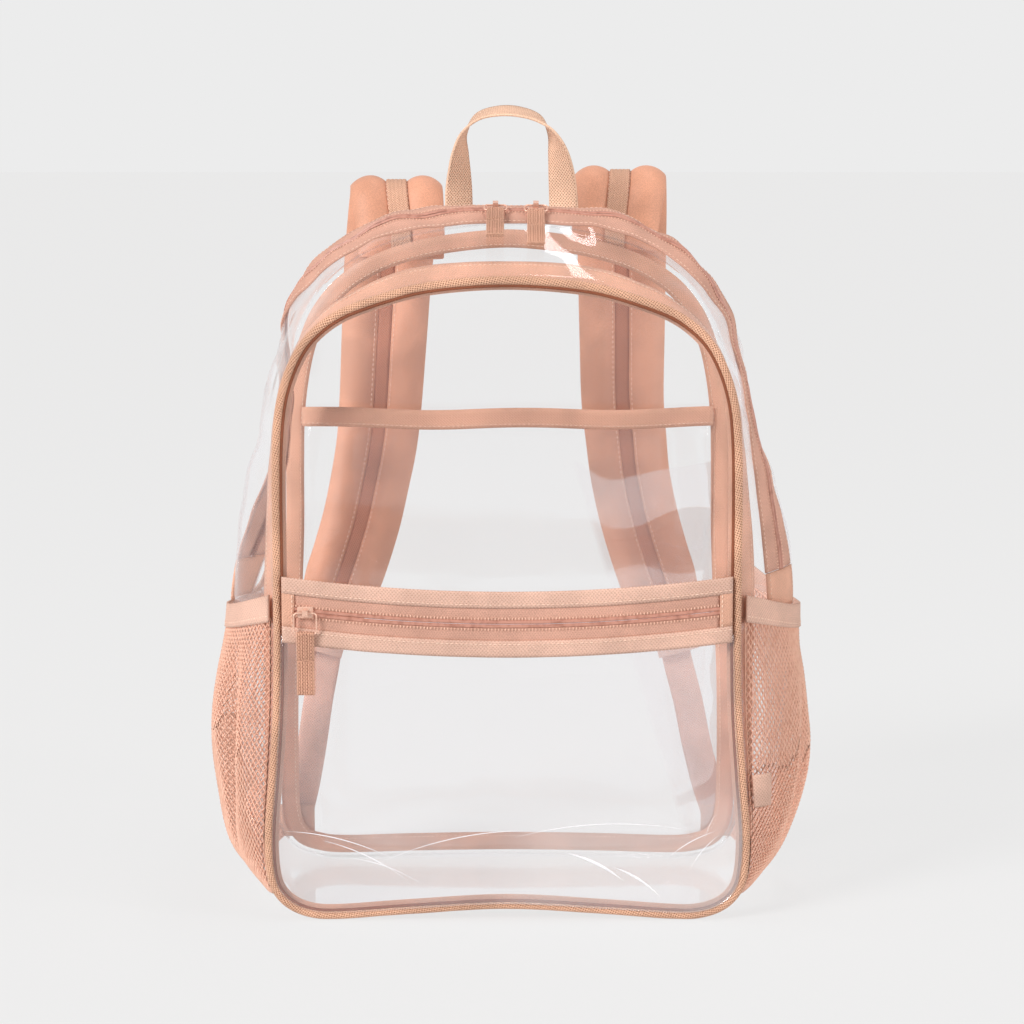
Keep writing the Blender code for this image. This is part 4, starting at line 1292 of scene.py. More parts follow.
@dataclass
class MainZip:
    """The main zip over the gusset: two tapes, a coil, stitching and end tapes."""

    shape: BagShape
    gusset: Gusset
    half: float = 0.0150
    lip: float = 0.0022
    tick_place: float = 0.0034
    tick: Size = (0.00045, 0.0011, 0.0004)
    tooth_pitch: float = 0.0016
    tooth: Size = (0.0005, 0.0030, 0.0006)
    stitch_inset: float = 0.0016
    end_gap: float = 0.012

    def spots(self, start: float, end: float, offset: float, lift: float) -> list[Spot]:
        """A line along the zip at an offset from its middle.

        Args:
            start: First station.
            end: Last station.
            offset: Depth from the zip's middle.
            lift: Height over the gusset.

        Returns:
            The spots.
        """
        shape, found = self.shape, []
        count = round((end - start) * 10)
        for step in range(count + 1):
            station = start + (end - start) * step / count
            y = shape.zip_y(station) + offset
            found.append((shape.lifted(station, y, lift), shape.out_of_skin(station, y)))
        return found

    def build(self) -> None:
        """Make the tapes, the coil's lips and teeth, the ends and the stitching."""
        shape = self.shape
        start, end = shape.zip_start + self.end_gap, ROUND - shape.zip_start - self.end_gap
        for word, sign in (("front", -1), ("rear", 1)):
            tape = self.gusset.patch(
                start, end, lambda s: shape.zip_y(s) + sign * self.lip,
                lambda s: shape.zip_y(s) + sign * self.half, 5, 0.0004, 10,
            )
            bmesh.ops.recalc_face_normals(tape, faces=tape.faces)
            keep(f"zip_tape_{word}", tape, Finishes.zip_tape, [f"main_zip_tape_{word}"], 0.0009)
        lips = bmesh.new()
        for sign in (-1, 1):
            line = self.spots(start, end, sign * self.lip * 0.58, 0.0009)
            merge(lips, self.lip_tube(line))
        keep("zip_lips", lips, Finishes.coil, ["main_zip_coil"])
        ticks = [self.spots(start, end, sign * self.tick_place, 0.0010) for sign in (-1, 1)]
        stitched("zip_ticks", ticks, TICK_PITCH, self.tick, Finishes.tick)
        inside = self.spots(start, end, 0.0, -0.0008)
        stitched("zip_inner_coil", [inside], self.tooth_pitch, self.tooth, Finishes.coil)
        edge = self.half - self.stitch_inset
        stitched("zip_edge_stitches",
                 [self.spots(start, end, offset, 0.0010) for offset in (-edge, edge)], 0.0030)
        self.build_ends()

    def lip_tube(self, line: list[Spot]) -> bmesh.types.BMesh:
        """A rolled tape edge along a line of spots.

        Args:
            line: The spots.

        Returns:
            The edge as a closed tube.
        """
        points = [point for point, _ in line]
        outs = [out for _, out in line]
        last = len(line) - 1

        def path(share: float) -> tuple[Vector, Vector, Vector]:
            """Middle and directions at a share along."""
            at = share * last
            middle = blend(points, at)
            out = blend(outs, at).normalized()
            return middle, out.cross(heading(points, at, 0.5)).normalized(), out

        return tube(last, 6, path, 0.0012, 0.0009, False)

    def build_ends(self) -> None:
        """Make the cover tape over each end of the zip."""
        shape = self.shape
        for side, first, last in (
            (Side.RIGHT, shape.split + self.end_gap, shape.zip_start),
            (Side.LEFT, ROUND - shape.zip_start, ROUND - shape.split - self.end_gap),
        ):
            half = self.half - 0.0004
            end = self.gusset.patch(first, last, lambda s: shape.zip_y(s) - half,
                                    lambda s: shape.zip_y(s) + half, 8, 0.0008, 12)
            keep(f"zip_end_tape_{side.word}", end, Finishes.grosgrain, [f"main_zip_end_{side.word}"],
                 0.0014)
            edges = (-half + 0.002, half - 0.002)
            stitched(f"zip_end_stitches_{side.word}",
                     [self.spots(first, last, offset, 0.0018) for offset in edges], END_PITCH,
                     END_STITCH)


@dataclass
class Panels:
    """The clear front, back and front pocket panels."""

    shape: BagShape
    film: float = 0.0006
    band_foot: float = 0.0389
    columns: int = 168
    wave: float = 0.0011
    ripple: float = 0.0005
    seam_share: float = 0.6

    def panel(self, outline: Callable[[float], Vector], depth: Callable[[float, float], float],
              rings: int) -> bmesh.types.BMesh:
        """A panel inside an outline.

        Args:
            outline: Gives a point of its edge at a share round.
            depth: Gives its face's depth at a place.
            rings: Rings from edge to middle.

        Returns:
            The panel as an open mesh.
        """
        points = [outline(step / 24) for step in range(24)]
        middle = sum(points, Vector()) / len(points)

        def place(along: float, across: float) -> Vector:
            """A point of the panel."""
            at = middle.lerp(outline(along % 1.0), 1 - across**1.3)
            wave = self.wave * noise.noise(Vector((at.x * 13, at.z * 13, rings)))
            wave += self.ripple * noise.noise(Vector((at.x * 34, at.z * 34, rings)))
            return Vector((at.x, depth(at.x, at.z) + wave * min(1.0, across * 4), at.z))

        return surface(self.columns, rings, place)

    def build(self) -> None:
        """Make the three panels."""
        shape = self.shape
        reach = shape.piping * self.seam_share
        front = self.panel(lambda a: shape.inset(shape.front_loop, a * ROUND, reach),
                           shape.front_face, 20)
        keep("front_film", front, Finishes.film, ["front_panel"], self.film)
        back = self.panel(lambda a: shape.inset(shape.rear_loop, a * ROUND, shape.clear),
                          lambda x, z: shape.back_face(x, z) - self.film, 18)
        keep("back_film", back, Finishes.back_film, ["back_panel"], self.film)
        self.build_pocket()

    def build_pocket(self) -> None:
        """Make the front pocket's outer film, which bulges below its band."""
        shape = self.shape
        edge = self.band_foot - 0.002
        side_x = shape.panel_reach(shape.band_top)
        top = shape.station_at(shape.band_z(side_x, edge), shape.front_loop)
        reach = shape.piping * self.seam_share
        corner = shape.inset(shape.front_loop, top, reach)

        def outline(share: float) -> Vector:
            """The pocket's edge: the seam below, then the line under the band."""
            if share < 0.75:
                return shape.inset(shape.front_loop, (-top + 2 * top * share / 0.75) % ROUND, reach)
            x = corner.x * (1 - 2 * (share - 0.75) / 0.25)
            return Vector((x, 0, shape.band_z(x, edge)))

        pocket = self.panel(outline, lambda x, z: shape.pocket_face(x, z, self.band_foot), 21)
        keep("pocket_film", pocket, Finishes.pocket_film, ["pocket_panel"], self.film)
        self.build_crease_highlights()

    def build_crease_highlights(self) -> None:
        """Make white streaks of painted highlight along creases in the pocket film's lower corners."""
        shape, bm = self.shape, bmesh.new()
        for x, z, length, turn, width in HIGHLIGHT_CREASES:
            points = []
            for step in range(13):
                share = step / 6 - 1
                across = share * length / 2
                bend = 0.06 * length * (1 - share * share)
                at = Vector((across, 0, bend)) @ Matrix.Rotation(radians(turn), 3, "Y")
                at += Vector((x, 0, z))
                points.append(Vector((at.x, shape.pocket_face(at.x, at.z, self.band_foot) - 0.0010,
                                      at.z)))

            def place(along: float, across: float) -> Vector:
                """A point of a highlight streak, tapered to its ends."""
                at = along * 12
                thin = width * (sin(pi * min(max(along, 0.02), 0.98)))
                return blend(points, at) + Vector((0, 0, thin * (across - 0.5)))

            merge(bm, surface(24, 1, place))
        keep("pocket_crease_highlights", bm, Finishes.crease, wall=0.0002)


@dataclass
class Seams:
    """Corded piping round the front and the bindings of both seams."""

    shape: BagShape
    binding_width: float = 0.0105
    lip: float = 0.0060
    rear_width: float = 0.0120
    stitch_inset: float = 0.0022
    columns: int = 252

    def build(self) -> None:
        """Make piping, bindings and their stitching."""
        self.build_piping()
        self.build_seam_shade()
        self.build_front_binding()
        self.build_back_binding()

    def build_piping(self) -> None:
        """Make the piping, a full tube with a slightly uneven thickness."""
        shape = self.shape

        def place(along: float, turn: float) -> Vector:
            """A point of the piping."""
            station = (along % 1.0) * ROUND
            middle = blend(shape.front_loop, station, True)
            middle = Vector((middle.x, shape.front_y_seam, middle.z))
            before = blend(shape.front_loop, station - NEAR, True)
            forward = (blend(shape.front_loop, station + NEAR, True) - before).normalized()
            across = Vector((-forward.z, 0, forward.x))
            angle = tau * (turn % 1.0)
            thick = shape.piping * (1 + 0.05 * noise.noise(middle * 90))
            return middle + (across * cos(angle) + Vector((0, 1, 0)) * sin(angle)) * thick

        bm = surface(self.columns * 2, 14, place)
        bmesh.ops.recalc_face_normals(bm, faces=bm.faces)
        keep("front_cord", bm, Finishes.piping, ["front_piping"])

    def build_seam_shade(self) -> None:
        """Make a dark strip of painted shade beside the piping, inside the front seam."""
        shape = self.shape

        def place(along: float, across: float) -> Vector:
            """A point of the shade strip."""
            station = (along % 1.0) * ROUND
            at = shape.inset(shape.front_loop, station, 0.0018 + 0.0024 * across)
            return Vector((at.x, shape.front_face(at.x, at.z) - 0.0004, at.z))

        keep("piping_seam_shade", surface(self.columns, 2, place), Finishes.seam_shade, wall=0.0005)

    def build_front_binding(self) -> None:
        """Make the tape over the front seam: a lip behind the piping and a leg inside."""
        shape = self.shape
        under = -(shape.sheet + 2 * shape.clear)

        def place(along: float, across: float) -> Vector:
            """A point of the binding."""
            station = (along % 1.0) * ROUND
            row = across * 5
            if row < 1:
                lip = shape.inset(shape.front_loop, station, self.lip)
                edge = shape.lifted(station, shape.gusset_front, under)
                return Vector((lip.x, shape.gusset_front, lip.z)).lerp(edge, row)
            return shape.lifted(station, shape.gusset_front + (row - 1) / 4 * self.binding_width, under)

        bm = surface(self.columns, 5, place)
        bmesh.ops.recalc_face_normals(bm, faces=bm.faces)
        keep("front_binding_tape", bm, Finishes.grosgrain, ["front_binding"], 0.0009)
        line = []
        for step in range(self.columns + 1):
            station = step / self.columns * ROUND
            y = shape.gusset_front + self.binding_width - self.stitch_inset
            out = shape.out_of_skin(station, y)
            line.append((shape.skin(station, y) + out * (under + 0.0006), out))
        stitched("front_binding_stitches", [line])

    def build_back_binding(self) -> None:
        """Make the flat tape inside the rear seam, with a row of stitches."""
        shape = self.shape
        outer = shape.sheet + 2 * shape.clear

        def place(along: float, across: float) -> Vector:
            """A point of the tape."""
            station = (along % 1.0) * ROUND
            at = shape.inset(shape.rear_loop, station, outer + across * self.rear_width)
            return Vector((at.x, shape.rear_tape + 0.0006, at.z))

        bm = surface(self.columns, 3, place)
        keep("back_binding_tape", bm, Finishes.grosgrain, ["back_binding"], 0.0010)
        line = []
        for step in range(self.columns + 1):
            station = step / self.columns * ROUND
            at = shape.inset(shape.rear_loop, station, outer + self.rear_width - self.stitch_inset)
            line.append((Vector((at.x, shape.rear_tape - 0.0001, at.z)), Vector((0, -1, 0))))
        stitched("back_binding_stitches", [line])


@dataclass
class PocketBand:
    """The band across the front: two bindings, a zip between them and its end tabs."""

    shape: BagShape
    binding: float = 0.0105
    tape: float = 0.0071
    coil: float = 0.0044
    end_width: float = 0.0080
    columns: int = 96
    clear: float = 0.0004
    tick_place: float = 0.0034
    tick: Size = (0.00045, 0.0010, 0.0004)
    stitch_inset: float = 0.0022

    @cached_property
    def coil_top(self) -> float:
        """Drop of the coil's upper edge."""
        return self.binding + 2 * self.clear + self.tape

    @cached_property
    def lower_top(self) -> float:
        """Drop of the lower binding's top edge."""
        return self.coil_top + self.coil + 2 * self.clear + self.tape + self.clear

    def face(self, x: float, drop: float, lift: float) -> Vector:
        """A point of the band at a height over the front panel.

        Args:
            x: Place across.
            drop: Distance under the band's top.
            lift: The height.

        Returns:
            The point.
        """
        z = self.shape.band_z(x, drop)
        wave = 0.0004 * noise.noise(Vector((x * 60, drop * 90, 3.1)))
        return Vector((x, self.shape.front_face(x, z) - self.shape.pocket_standoff - lift + wave, z))

    def strip(self, name: str, finish: Finish, top: float, foot: float, first: float, last: float,
              lift: float, node: str, wall: float = 0.0010) -> None:
        """Make a strip of the band.

        Args:
            name: The piece's name.
            finish: What covers it.
            top: Drop of its top edge.
            foot: Drop of its lower edge.
            first: Its left end.
            last: Its right end.
            lift: Height of its middle plane over the panel.
            node: The CAD node it stands for.
            wall: Its thickness.
        """

        def place(along: float, across: float) -> Vector:
            """A point of the strip, its edges rolled back a little."""
            roll = 0.0004 * (2 * across - 1) ** 4
            return self.face(first + (last - first) * along, foot + (top - foot) * across, lift - roll)

        count = max(4, round(self.columns * (last - first) / 0.28))
        keep(name, surface(count, 6, place), finish, [node], wall)

    def line(self, drop: float, first: float, last: float, lift: float) -> list[Spot]:
        """A line along the band for stitches."""
        return [
            (self.face(first + (last - first) * step / 60, drop, lift), Vector((0, -1, 0)))
            for step in range(61)
        ]

    def build(self) -> None:
        """Make every strip of the band, its coil and its stitching."""
        reach = self.shape.panel_reach(self.shape.band_top)
        inner = reach - self.end_width
        upper_foot, lower_top = self.binding, self.lower_top
        lower_foot = lower_top + self.binding
        for word, top, foot in (("upper", 0.0, upper_foot), ("lower", lower_top, lower_foot)):
            self.strip(f"band_tape_{word}", Finishes.band, top, foot, -reach, reach, 0.0012,
                       f"pocket_binding_{word}", 0.0014)
        for word, top, foot in (
            ("upper", upper_foot - 0.001, self.coil_top + 0.0012),
            ("lower", self.coil_top + self.coil - 0.0012, lower_top + 0.001),
        ):
            self.strip(f"band_zip_{word}", Finishes.zip_tape, top, foot, -inner, inner, 0.0006,
                       f"pocket_zip_tape_{word}")
        end_top, end_foot = upper_foot - 0.0004, lower_top + 0.0004
        for word, first, last in (("left", -reach, -inner), ("right", inner, reach)):
            self.strip(f"band_end_{word}", Finishes.grosgrain, end_top, end_foot, first, last, 0.0014,
                       f"pocket_end_{word}")
        middle = self.coil_top + self.coil / 2
        lips = bmesh.new()
        for sign in (-1, 1):
            drop = middle + sign * 0.0013

            def path(share: float) -> tuple[Vector, Vector, Vector]:
                """Middle and directions of a rolled tape edge."""
                x = -inner + 2 * inner * share
                return self.face(x, drop, 0.0010), Vector((0, 0, 1)), Vector((0, -1, 0))

            merge(lips, tube(120, 6, path, 0.0012, 0.0009, False))
        keep("band_zip_lips", lips, Finishes.coil, ["pocket_zip_coil"])
        drops = (middle - self.tick_place, middle + self.tick_place)
        stitched("band_zip_ticks", [self.line(drop, -inner, inner, 0.0014) for drop in drops],
                 TICK_PITCH, self.tick, Finishes.tick)
        rows = bmesh.new()
        for drop in (upper_foot - self.stitch_inset, lower_top + self.stitch_inset):
            sew(rows, self.line(drop, -reach, reach, 0.0021), 0.0030, STITCH)
        for first in (-inner - 0.0015, inner + 0.0015):
            line = [(self.face(first, end_top + (end_foot - end_top) * step / 6, 0.0021),
                     Vector((0, -1, 0))) for step in range(7)]
            sew(rows, line, END_PITCH, END_STITCH)
        keep("band_stitches", rows, Finishes.thread)


@dataclass
class Sleeve:
    """The clear sleeve against the back, with a bound mouth."""

    shape: BagShape
    height: float = 0.312
    width: float = 0.274
    fullness: float = 0.010
    tape: float = 0.013
    stitch_inset: float = 0.0022
    ripple: float = 0.0006
    wander: float = 0.0008

    def place_at(self, across: float, z: float) -> Vector:
        """A point of the sleeve at a place across from -1 to 1.

        Args:
            across: The place.
            z: Height before the mouth's wander.

        Returns:
            The point.
        """
        head = self.height - self.tape
        up = min(z / head, 1.0)
        full = (1 - across**4) * up**0.5
        narrow = 1 - 0.10 * (1 - up) ** 2
        edge = self.shape.rear_tape - self.shape.clear - self.shape.tape
        ripple = self.ripple * noise.noise(Vector((across * 6, z * 30, 0.7))) * (1 - across**4)
        wander = self.wander * sin(7 * across + 1.0)
        return Vector((across * narrow * self.width / 2, edge - self.fullness * full + ripple,
                       z + wander))

    def build(self) -> None:
        """Make film, mouth tape and stitching."""
        foot = self.shape.rear_loop[0].z + 0.006
        head = self.height - self.tape
        top = head + self.tape / 2
        film = surface(48, 20, lambda a, b: self.place_at(2 * a - 1, foot + (top - foot) * b))
        keep("sleeve_film", film, Finishes.sleeve_film, ["sleeve_panel"], 0.0005)
        tape = surface(72, 4, lambda a, b: self.place_at(2 * a - 1, head + self.tape * b))
        keep("sleeve_mouth_tape", tape, Finishes.grosgrain, ["sleeve_binding"], 0.0011)
        z = head + self.stitch_inset
        line = [(self.place_at(step / 30 - 1, z) - Vector((0, 0.0006, 0)), Vector((0, -1, 0)))
                for step in range(61)]
        stitched("sleeve_stitches", [line])


@dataclass
class SidePocket:
    """A net pocket on one side, with a taped mouth."""

    shape: BagShape
    side: Side
    cell_along: float = 0.0054
    cell_across: float = 0.0036
    strand: float = 0.00052
    yarn: float = 0.0010
    sag: float = 0.0085
    edge_rise: float = 0.0115
    ripple: float = 0.0030
    left_fold: float = 0.0115
    right_fold: float = 0.0060
    stitch_pitch: float = 0.0032

    def net(self) -> bmesh.types.BMesh:
        """The net: diamonds of yarn laid over the pocket's form.

        Returns:
            The net as an open mesh.
        """
        shape = self.shape
        foot, head = shape.station_at(shape.net_foot), shape.station_at(shape.net_height)
        middle = (shape.net_front + shape.net_rear) / 2
        up = [shape.net_point(self.side, foot + (head - foot) * step / 20, middle, 0) for step in range(21)]
        depth = shape.net_rear - shape.net_front
        round_the_side = [
            shape.net_point(self.side, (foot + head) / 2, shape.net_front + depth * step / 20, 0)
            for step in range(21)
        ]
        rows = round(running_length(up)[-1] / self.cell_along)
        columns = round(running_length(round_the_side)[-1] / self.cell_across)
        lengths = running_length(up)
        steps = [(length / lengths[-1], foot + (head - foot) * number / 20)
                 for number, length in enumerate(lengths)]
        bm = bmesh.new()
        bmesh.ops.create_grid(bm, x_segments=columns, y_segments=rows, size=0.5)
        crossings = set(bm.edges)
        bmesh.ops.poke(bm, faces=bm.faces)
        inner = [edge for edge in crossings if edge.is_valid and not edge.is_boundary]
        bmesh.ops.dissolve_edges(bm, edges=inner, use_verts=False, use_face_split=False)
        for vertex in bm.verts:
            station = step_value(steps, vertex.co.y + 0.5)
            y = shape.net_front + depth * (vertex.co.x + 0.5)
            vertex.co = self.crumpled(station, y)
        grown = bmesh.ops.inset_individual(bm, faces=bm.faces[:], thickness=self.strand)
        holes = [face for face in bm.faces if face not in set(grown["faces"])]
        bmesh.ops.delete(bm, geom=holes, context="FACES")
        if self.side is Side.LEFT:
            bmesh.ops.reverse_faces(bm, faces=bm.faces)
        return bm

    def crumpled(self, station: float, y: float) -> Vector:
        """A point of the net with its folds.

        Args:
            station: Place up the pocket's side.
            y: Depth.

        Returns:
            The point.
        """
        shape = self.shape
        across = (y - shape.net_front) / (shape.net_rear - shape.net_front)
        fade = max(0.0, sin(pi * across)) ** 0.6
        point = shape.net_point(self.side, station, y, 0.0)
        up = min(point.z / shape.net_height, 1.0)
        height = max(0.0, sin(pi * min(max((up - 0.05) / 0.95, 0), 1)))
        ripple = self.ripple * noise.noise(Vector((across * 5.0, point.z * 14, self.side.value * 2.0)))
        if self.side is Side.LEFT:
            fold = exp(-(((across - 0.20 - 0.10 * (1 - up)) / 0.05) ** 2))
            ripple -= self.left_fold * fold * height
        else:
            fold = exp(-(((across - 0.46 + 0.20 * (1 - up)) / 0.06) ** 2))
            ripple -= self.right_fold * fold * height
        out = shape.out_of_skin((station if self.side is Side.RIGHT else ROUND - station) % ROUND, y)
        return self.sagged(point + out * ripple * fade * height**0.5, across)

    def sagged(self, point: Vector, across: float) -> Vector:
        """Let a point down with the slack of the mouth, and up where its edges are sewn.

        Args:
            point: The point.
            across: Its share from the front edge to the rear one.

        Returns:
            The moved point.
        """
        up = min(max(point.z / self.shape.net_height, 0.0), 1.0)
        slack = sin(pi * min(max(across, 0.0), 1.0))
        return point + Vector((0, 0, (self.edge_rise * (1 - slack) - self.sag * slack) * up**3))

    def build(self) -> None:
        """Make net, mouth tape and stitching."""
        shape, word = self.shape, self.side.word
        keep(f"net_{word}", self.net(), Finishes.net, [f"side_pocket_net_{word}"], self.yarn,
             even=False)
        head = shape.station_at(shape.net_height)
        top = shape.station_at(shape.net_height + shape.net_band)
        depth = shape.net_rear - shape.net_front

        def place(along: float, across: float) -> Vector:
            """A point of the mouth's tape."""
            y = shape.net_front + depth * along
            station = head + (top - head) * (across * 1.15 - 0.15)
            return self.sagged(shape.net_point(self.side, station, y, 0.0009), along)

        bm = surface(72, 7, place)
        if self.side is Side.LEFT:
            bmesh.ops.reverse_faces(bm, faces=bm.faces)
        keep(f"mouth_tape_{word}", bm, Finishes.band, [f"side_pocket_band_{word}"], 0.0015)
        line = []
        for step in range(61):
            point = place(step / 60, 0.2)
            out = Vector((self.side.value, 0, 0))
            before, after = place(max(step - 1, 0) / 60, 0.2), place(min(step + 1, 60) / 60, 0.2)
            along = (after - before).normalized()
            out = (out - along * out.dot(along)).normalized()
            line.append((point + out * 0.0009, out))
        stitched(f"mouth_stitches_{word}", [line], self.stitch_pitch)


@dataclass
class LabelTab:
    """A plain folded tab sewn on the right pocket."""

    shape: BagShape
    width: float = 0.010
    height: float = 0.022
    foot: float = 0.0725

    def build(self) -> None:
        """Make the tab."""
        shape = self.shape
        low, high = shape.station_at(self.foot), shape.station_at(self.foot + self.height)

        def place(along: float, across: float) -> Vector:
            """A point of the tab."""
            y = shape.net_front + shape.clear + self.width * along
            lift = shape.clear + shape.tape + 0.0006 + 0.0004 * sin(pi * along)
            return shape.net_point(Side.RIGHT, low + (high - low) * across, y, lift)

        keep("blank_tab", surface(8, 12, place), Finishes.band, ["label_tab"], 0.0010)


def ribbon(points: Sequence[Vector], sides: Sequence[Vector], width: float, per_step: int,
           rows: int) -> bmesh.types.BMesh:
    """A flat ribbon through points, each with its direction across.

    Args:
        points: The middle line.
        sides: Direction across at each point.
        width: The ribbon's width.
        per_step: Faces along to each point.
        rows: Faces across.

    Returns:
        The ribbon as an open mesh.
    """
    last = len(points) - 1

    def place(along: float, across: float) -> Vector:
        """A point of the ribbon."""
        at = along * last
        side = blend(sides, at).normalized()
        return blend(points, at) + side * width * (across - 0.5)

    return surface(last * per_step, rows, place)


@dataclass
class Handle:
    """The grab handle: webbing whose face turns from the front to the sky."""

    shape: BagShape
    span: float = 0.068
    rise: float = 0.062
    width: float = 0.020
    thickness: float = 0.0016
    depth: float = 0.024
    seat: float = 0.0010

    def build(self) -> None:
        """Make the handle."""
        shape = self.shape
        step_length = (shape.crown_loop[TOP - 1] - shape.crown_loop[TOP]).length
        base = shape.skin(TOP - self.span / 2 / step_length, self.depth).z + self.seat
        points = [Vector((s.along * self.span, self.depth, base + s.rise * self.rise))
                  for s in HANDLE_STEPS]
        sides = []
        for number, step in enumerate(HANDLE_STEPS):
            along = points[min(number + 1, len(points) - 1)] - points[max(number - 1, 0)]
            outwards = Vector((-along.z, 0, along.x)).normalized()
            turn = radians(step.turn)
            sides.append(outwards * cos(turn) + Vector((0, sin(turn), 0)))
        bm = ribbon(points, sides, self.width, 10, 8)
        keep("handle_webbing", bm, Finishes.webbing, ["handle"], self.thickness)


@dataclass
class ShoulderStrap:
    """A padded strap with two lobes, webbing, buckle, lower webbing and anchor."""

    shape: BagShape
    side: Side
    length: float = 0.306
    left_share: float = 0.978
    width: float = 0.059
    thickness: float = 0.013
    spread: float = 0.084
    reach: float = 0.047
    foot: float = 0.160
    webbing: float = 0.013
    lower_width: float = 0.020
    anchor_x: float = 0.144
    anchor_z: float = 0.027
    pad_columns: int = 130
    pad_rows: int = 48
    puff_cap: float = 0.0022
    fill: float = 0.6
    seam_place: float = 0.22
    stitch_pitch: float = 0.0034
    stitch: Size = (0.0012, 0.0003, 0.0002)

    @cached_property
    def middles(self) -> list[Vector]:
        """The strap's middle line."""
        right = self.side is Side.RIGHT
        length = self.length if right else self.length * self.left_share
        found = []
        for step in STRAP_STEPS:
            x = self.side.value * self.spread * (step.right if right else step.left)
            y = self.shape.rear_y_seam + self.shape.back_crown + self.reach * step.behind
            found.append(Vector((x, y, self.foot + length * step.height)))
        return found

    def at(self, place: float) -> tuple[Vector, Vector, Vector, float, float]:
        """Middle, directions across and out, and the two sizes at a step.

        Args:
            place: Place along, in strap steps.

        Returns:
            Middle, across, out, width and thickness.
        """
        middle = blend(self.middles, place)
        along = heading(self.middles, place, 0.4)
        across = (Vector((1, 0, 0)) - along * along.x).normalized()
        out = across.cross(along)
        width = blend([step.width for step in STRAP_STEPS], place) * self.width
        thick = blend([step.thickness for step in STRAP_STEPS], place) * self.thickness
        return middle, across, out, width, thick

    @staticmethod
    def lobe(across: float) -> float:
        """Half thickness of the pad at a place across from -1 to 1, as a share.

        Args:
            across: The place.

        Returns:
            The share.
        """
        far = abs(across)
        lobes = max(0.0, 1 - ((max(far, 0.13) - 0.56) / 0.45) ** 2) ** 0.8
        return max(0.62 * lobes, 0.08 if far < 0.9 else 0.0)

    def build(self) -> None:
        """Make pad, webbing and anchor, and give the buckle its finish."""
        self.build_pad()
        self.build_webbing()
        self.build_lower()

    def build_pad(self) -> None:
        """Make the padded strap as one closed form with rounded lobes."""
        last = len(STRAP_STEPS) - 1
        word = self.side.word

        def place(along: float, turn: float) -> Vector:
            """A point of the pad."""
            middle, across, out, width, thick = self.at(along * last)
            turn %= 1.0
            front = turn < 0.5
            share = -cos(tau * turn)
            lift = self.lobe(share) * (1 if front else -1)
            pucker = 1 + 0.05 * noise.noise(Vector((along * 34, share * 2, self.side.value)))
            return middle + across * share * width / 2 + out * lift * thick * pucker

        bm = surface(self.pad_columns, self.pad_rows, place)
        ends = [edge for edge in bm.edges if edge.is_boundary]
        bmesh.ops.holes_fill(bm, edges=ends)
        bmesh.ops.recalc_face_normals(bm, faces=bm.faces)
        pad = keep(f"pad_{word}", bm, Finishes.pad, [f"strap_pad_{word}"])
        puff(pad, self.pinned(pad.data), self.puff_cap)
        smooth = pad.modifiers.new("smooth", "SUBSURF")
        smooth.levels = smooth.render_levels = 1
        lines = [self.seam(share, sign) for share in (-self.seam_place, self.seam_place)
                 for sign in (1, -1)]
        stitched(f"pad_stitches_{word}", lines, self.stitch_pitch, self.stitch)

    def seam(self, share: float, sign: int) -> list[Spot]:
        """A line of spots beside the pad's channel.

        Args:
            share: Its place across, from -1 to 1.
            sign: 1 on the outer face and -1 on the inner one.

        Returns:
            The spots from the strap's root down.
        """
        last = len(STRAP_STEPS) - 1
        line = []
        for step in range(8, 141):
            middle, across, out, width, thick = self.at(step / 150 * last)
            lift = sign * (self.lobe(share) * thick + 0.0001)
            line.append((middle + across * share * width / 2 + out * lift, out * sign))
        return line

    @staticmethod
    def pinned(mesh: bpy.types.Mesh) -> list[int]:
        """Vertices at the pad's edges, channel and ends, which its seams hold.

        Args:
            mesh: The pad's mesh.

        Returns:
            Their numbers, rising.
        """
        places = mesh.uv_layers["UVMap"].data
        long = max(place.uv.x for place in places)
        girth = max(place.uv.y for place in places)
        held = set()
        for loop, place in zip(mesh.loops, places):
            along, turn = place.uv.x / long, place.uv.y / girth
            share = abs(4 * min(turn, 1 - turn) - 1)
            if share < 0.24 or share > 0.95 or not 0.03 < along < 0.97:
                held.add(loop.vertex_index)
        return sorted(held)

    def build_webbing(self) -> None:
        """Make the webbing that runs in the pad's outer channel, and a dark strip of painted shade in its
        inner channel.
        """
        word = self.side.word
        last = len(STRAP_STEPS) - 2
        points, sides = [], []
        for step in range(last * 3 + 1):
            middle, across, out, _, thick = self.at(step / 3)
            points.append(middle + out * (0.25 * thick + 0.0014))
            sides.append(across)
        # Painted shade: a dark strip along the inner channel between the lobes.
        inner = []
        for step in range(3, last * 3 + 1):
            middle, across, out, _, thick = self.at(step / 3)
            inner.append(middle - out * (0.12 * thick + 0.0006))
        channel = ribbon(inner, sides[3:], self.webbing * 0.78, 3, 4)
        keep(f"pad_channel_shade_{word}", channel, Finishes.channel, wall=0.0008)
        bm = surface(
            len(points) * 3, 20,
            lambda a, b: self.ribbed(points, sides, a, b, self.webbing),
        )
        keep(f"pad_webbing_{word}", bm, Finishes.ridged, [f"strap_webbing_{word}"], 0.0010)

    @staticmethod
    def ribbed(points: list[Vector], sides: list[Vector], along: float, across: float,
               width: float) -> Vector:
        """A point of webbing with five ridges along it.

        Args:
            points: The webbing's middle line.
            sides: Direction across at each point.
            along: Share along.
            across: Share across.
            width: The webbing's width.

        Returns:
            The point.
        """
        at = along * (len(points) - 1)
        side = blend(sides, at).normalized()
        out = side.cross(heading(points, at, 0.2))
        ridge = 0.0004 * abs(sin(5 * pi * across))
        return blend(points, at) + side * width * (across - 0.5) + out * ridge

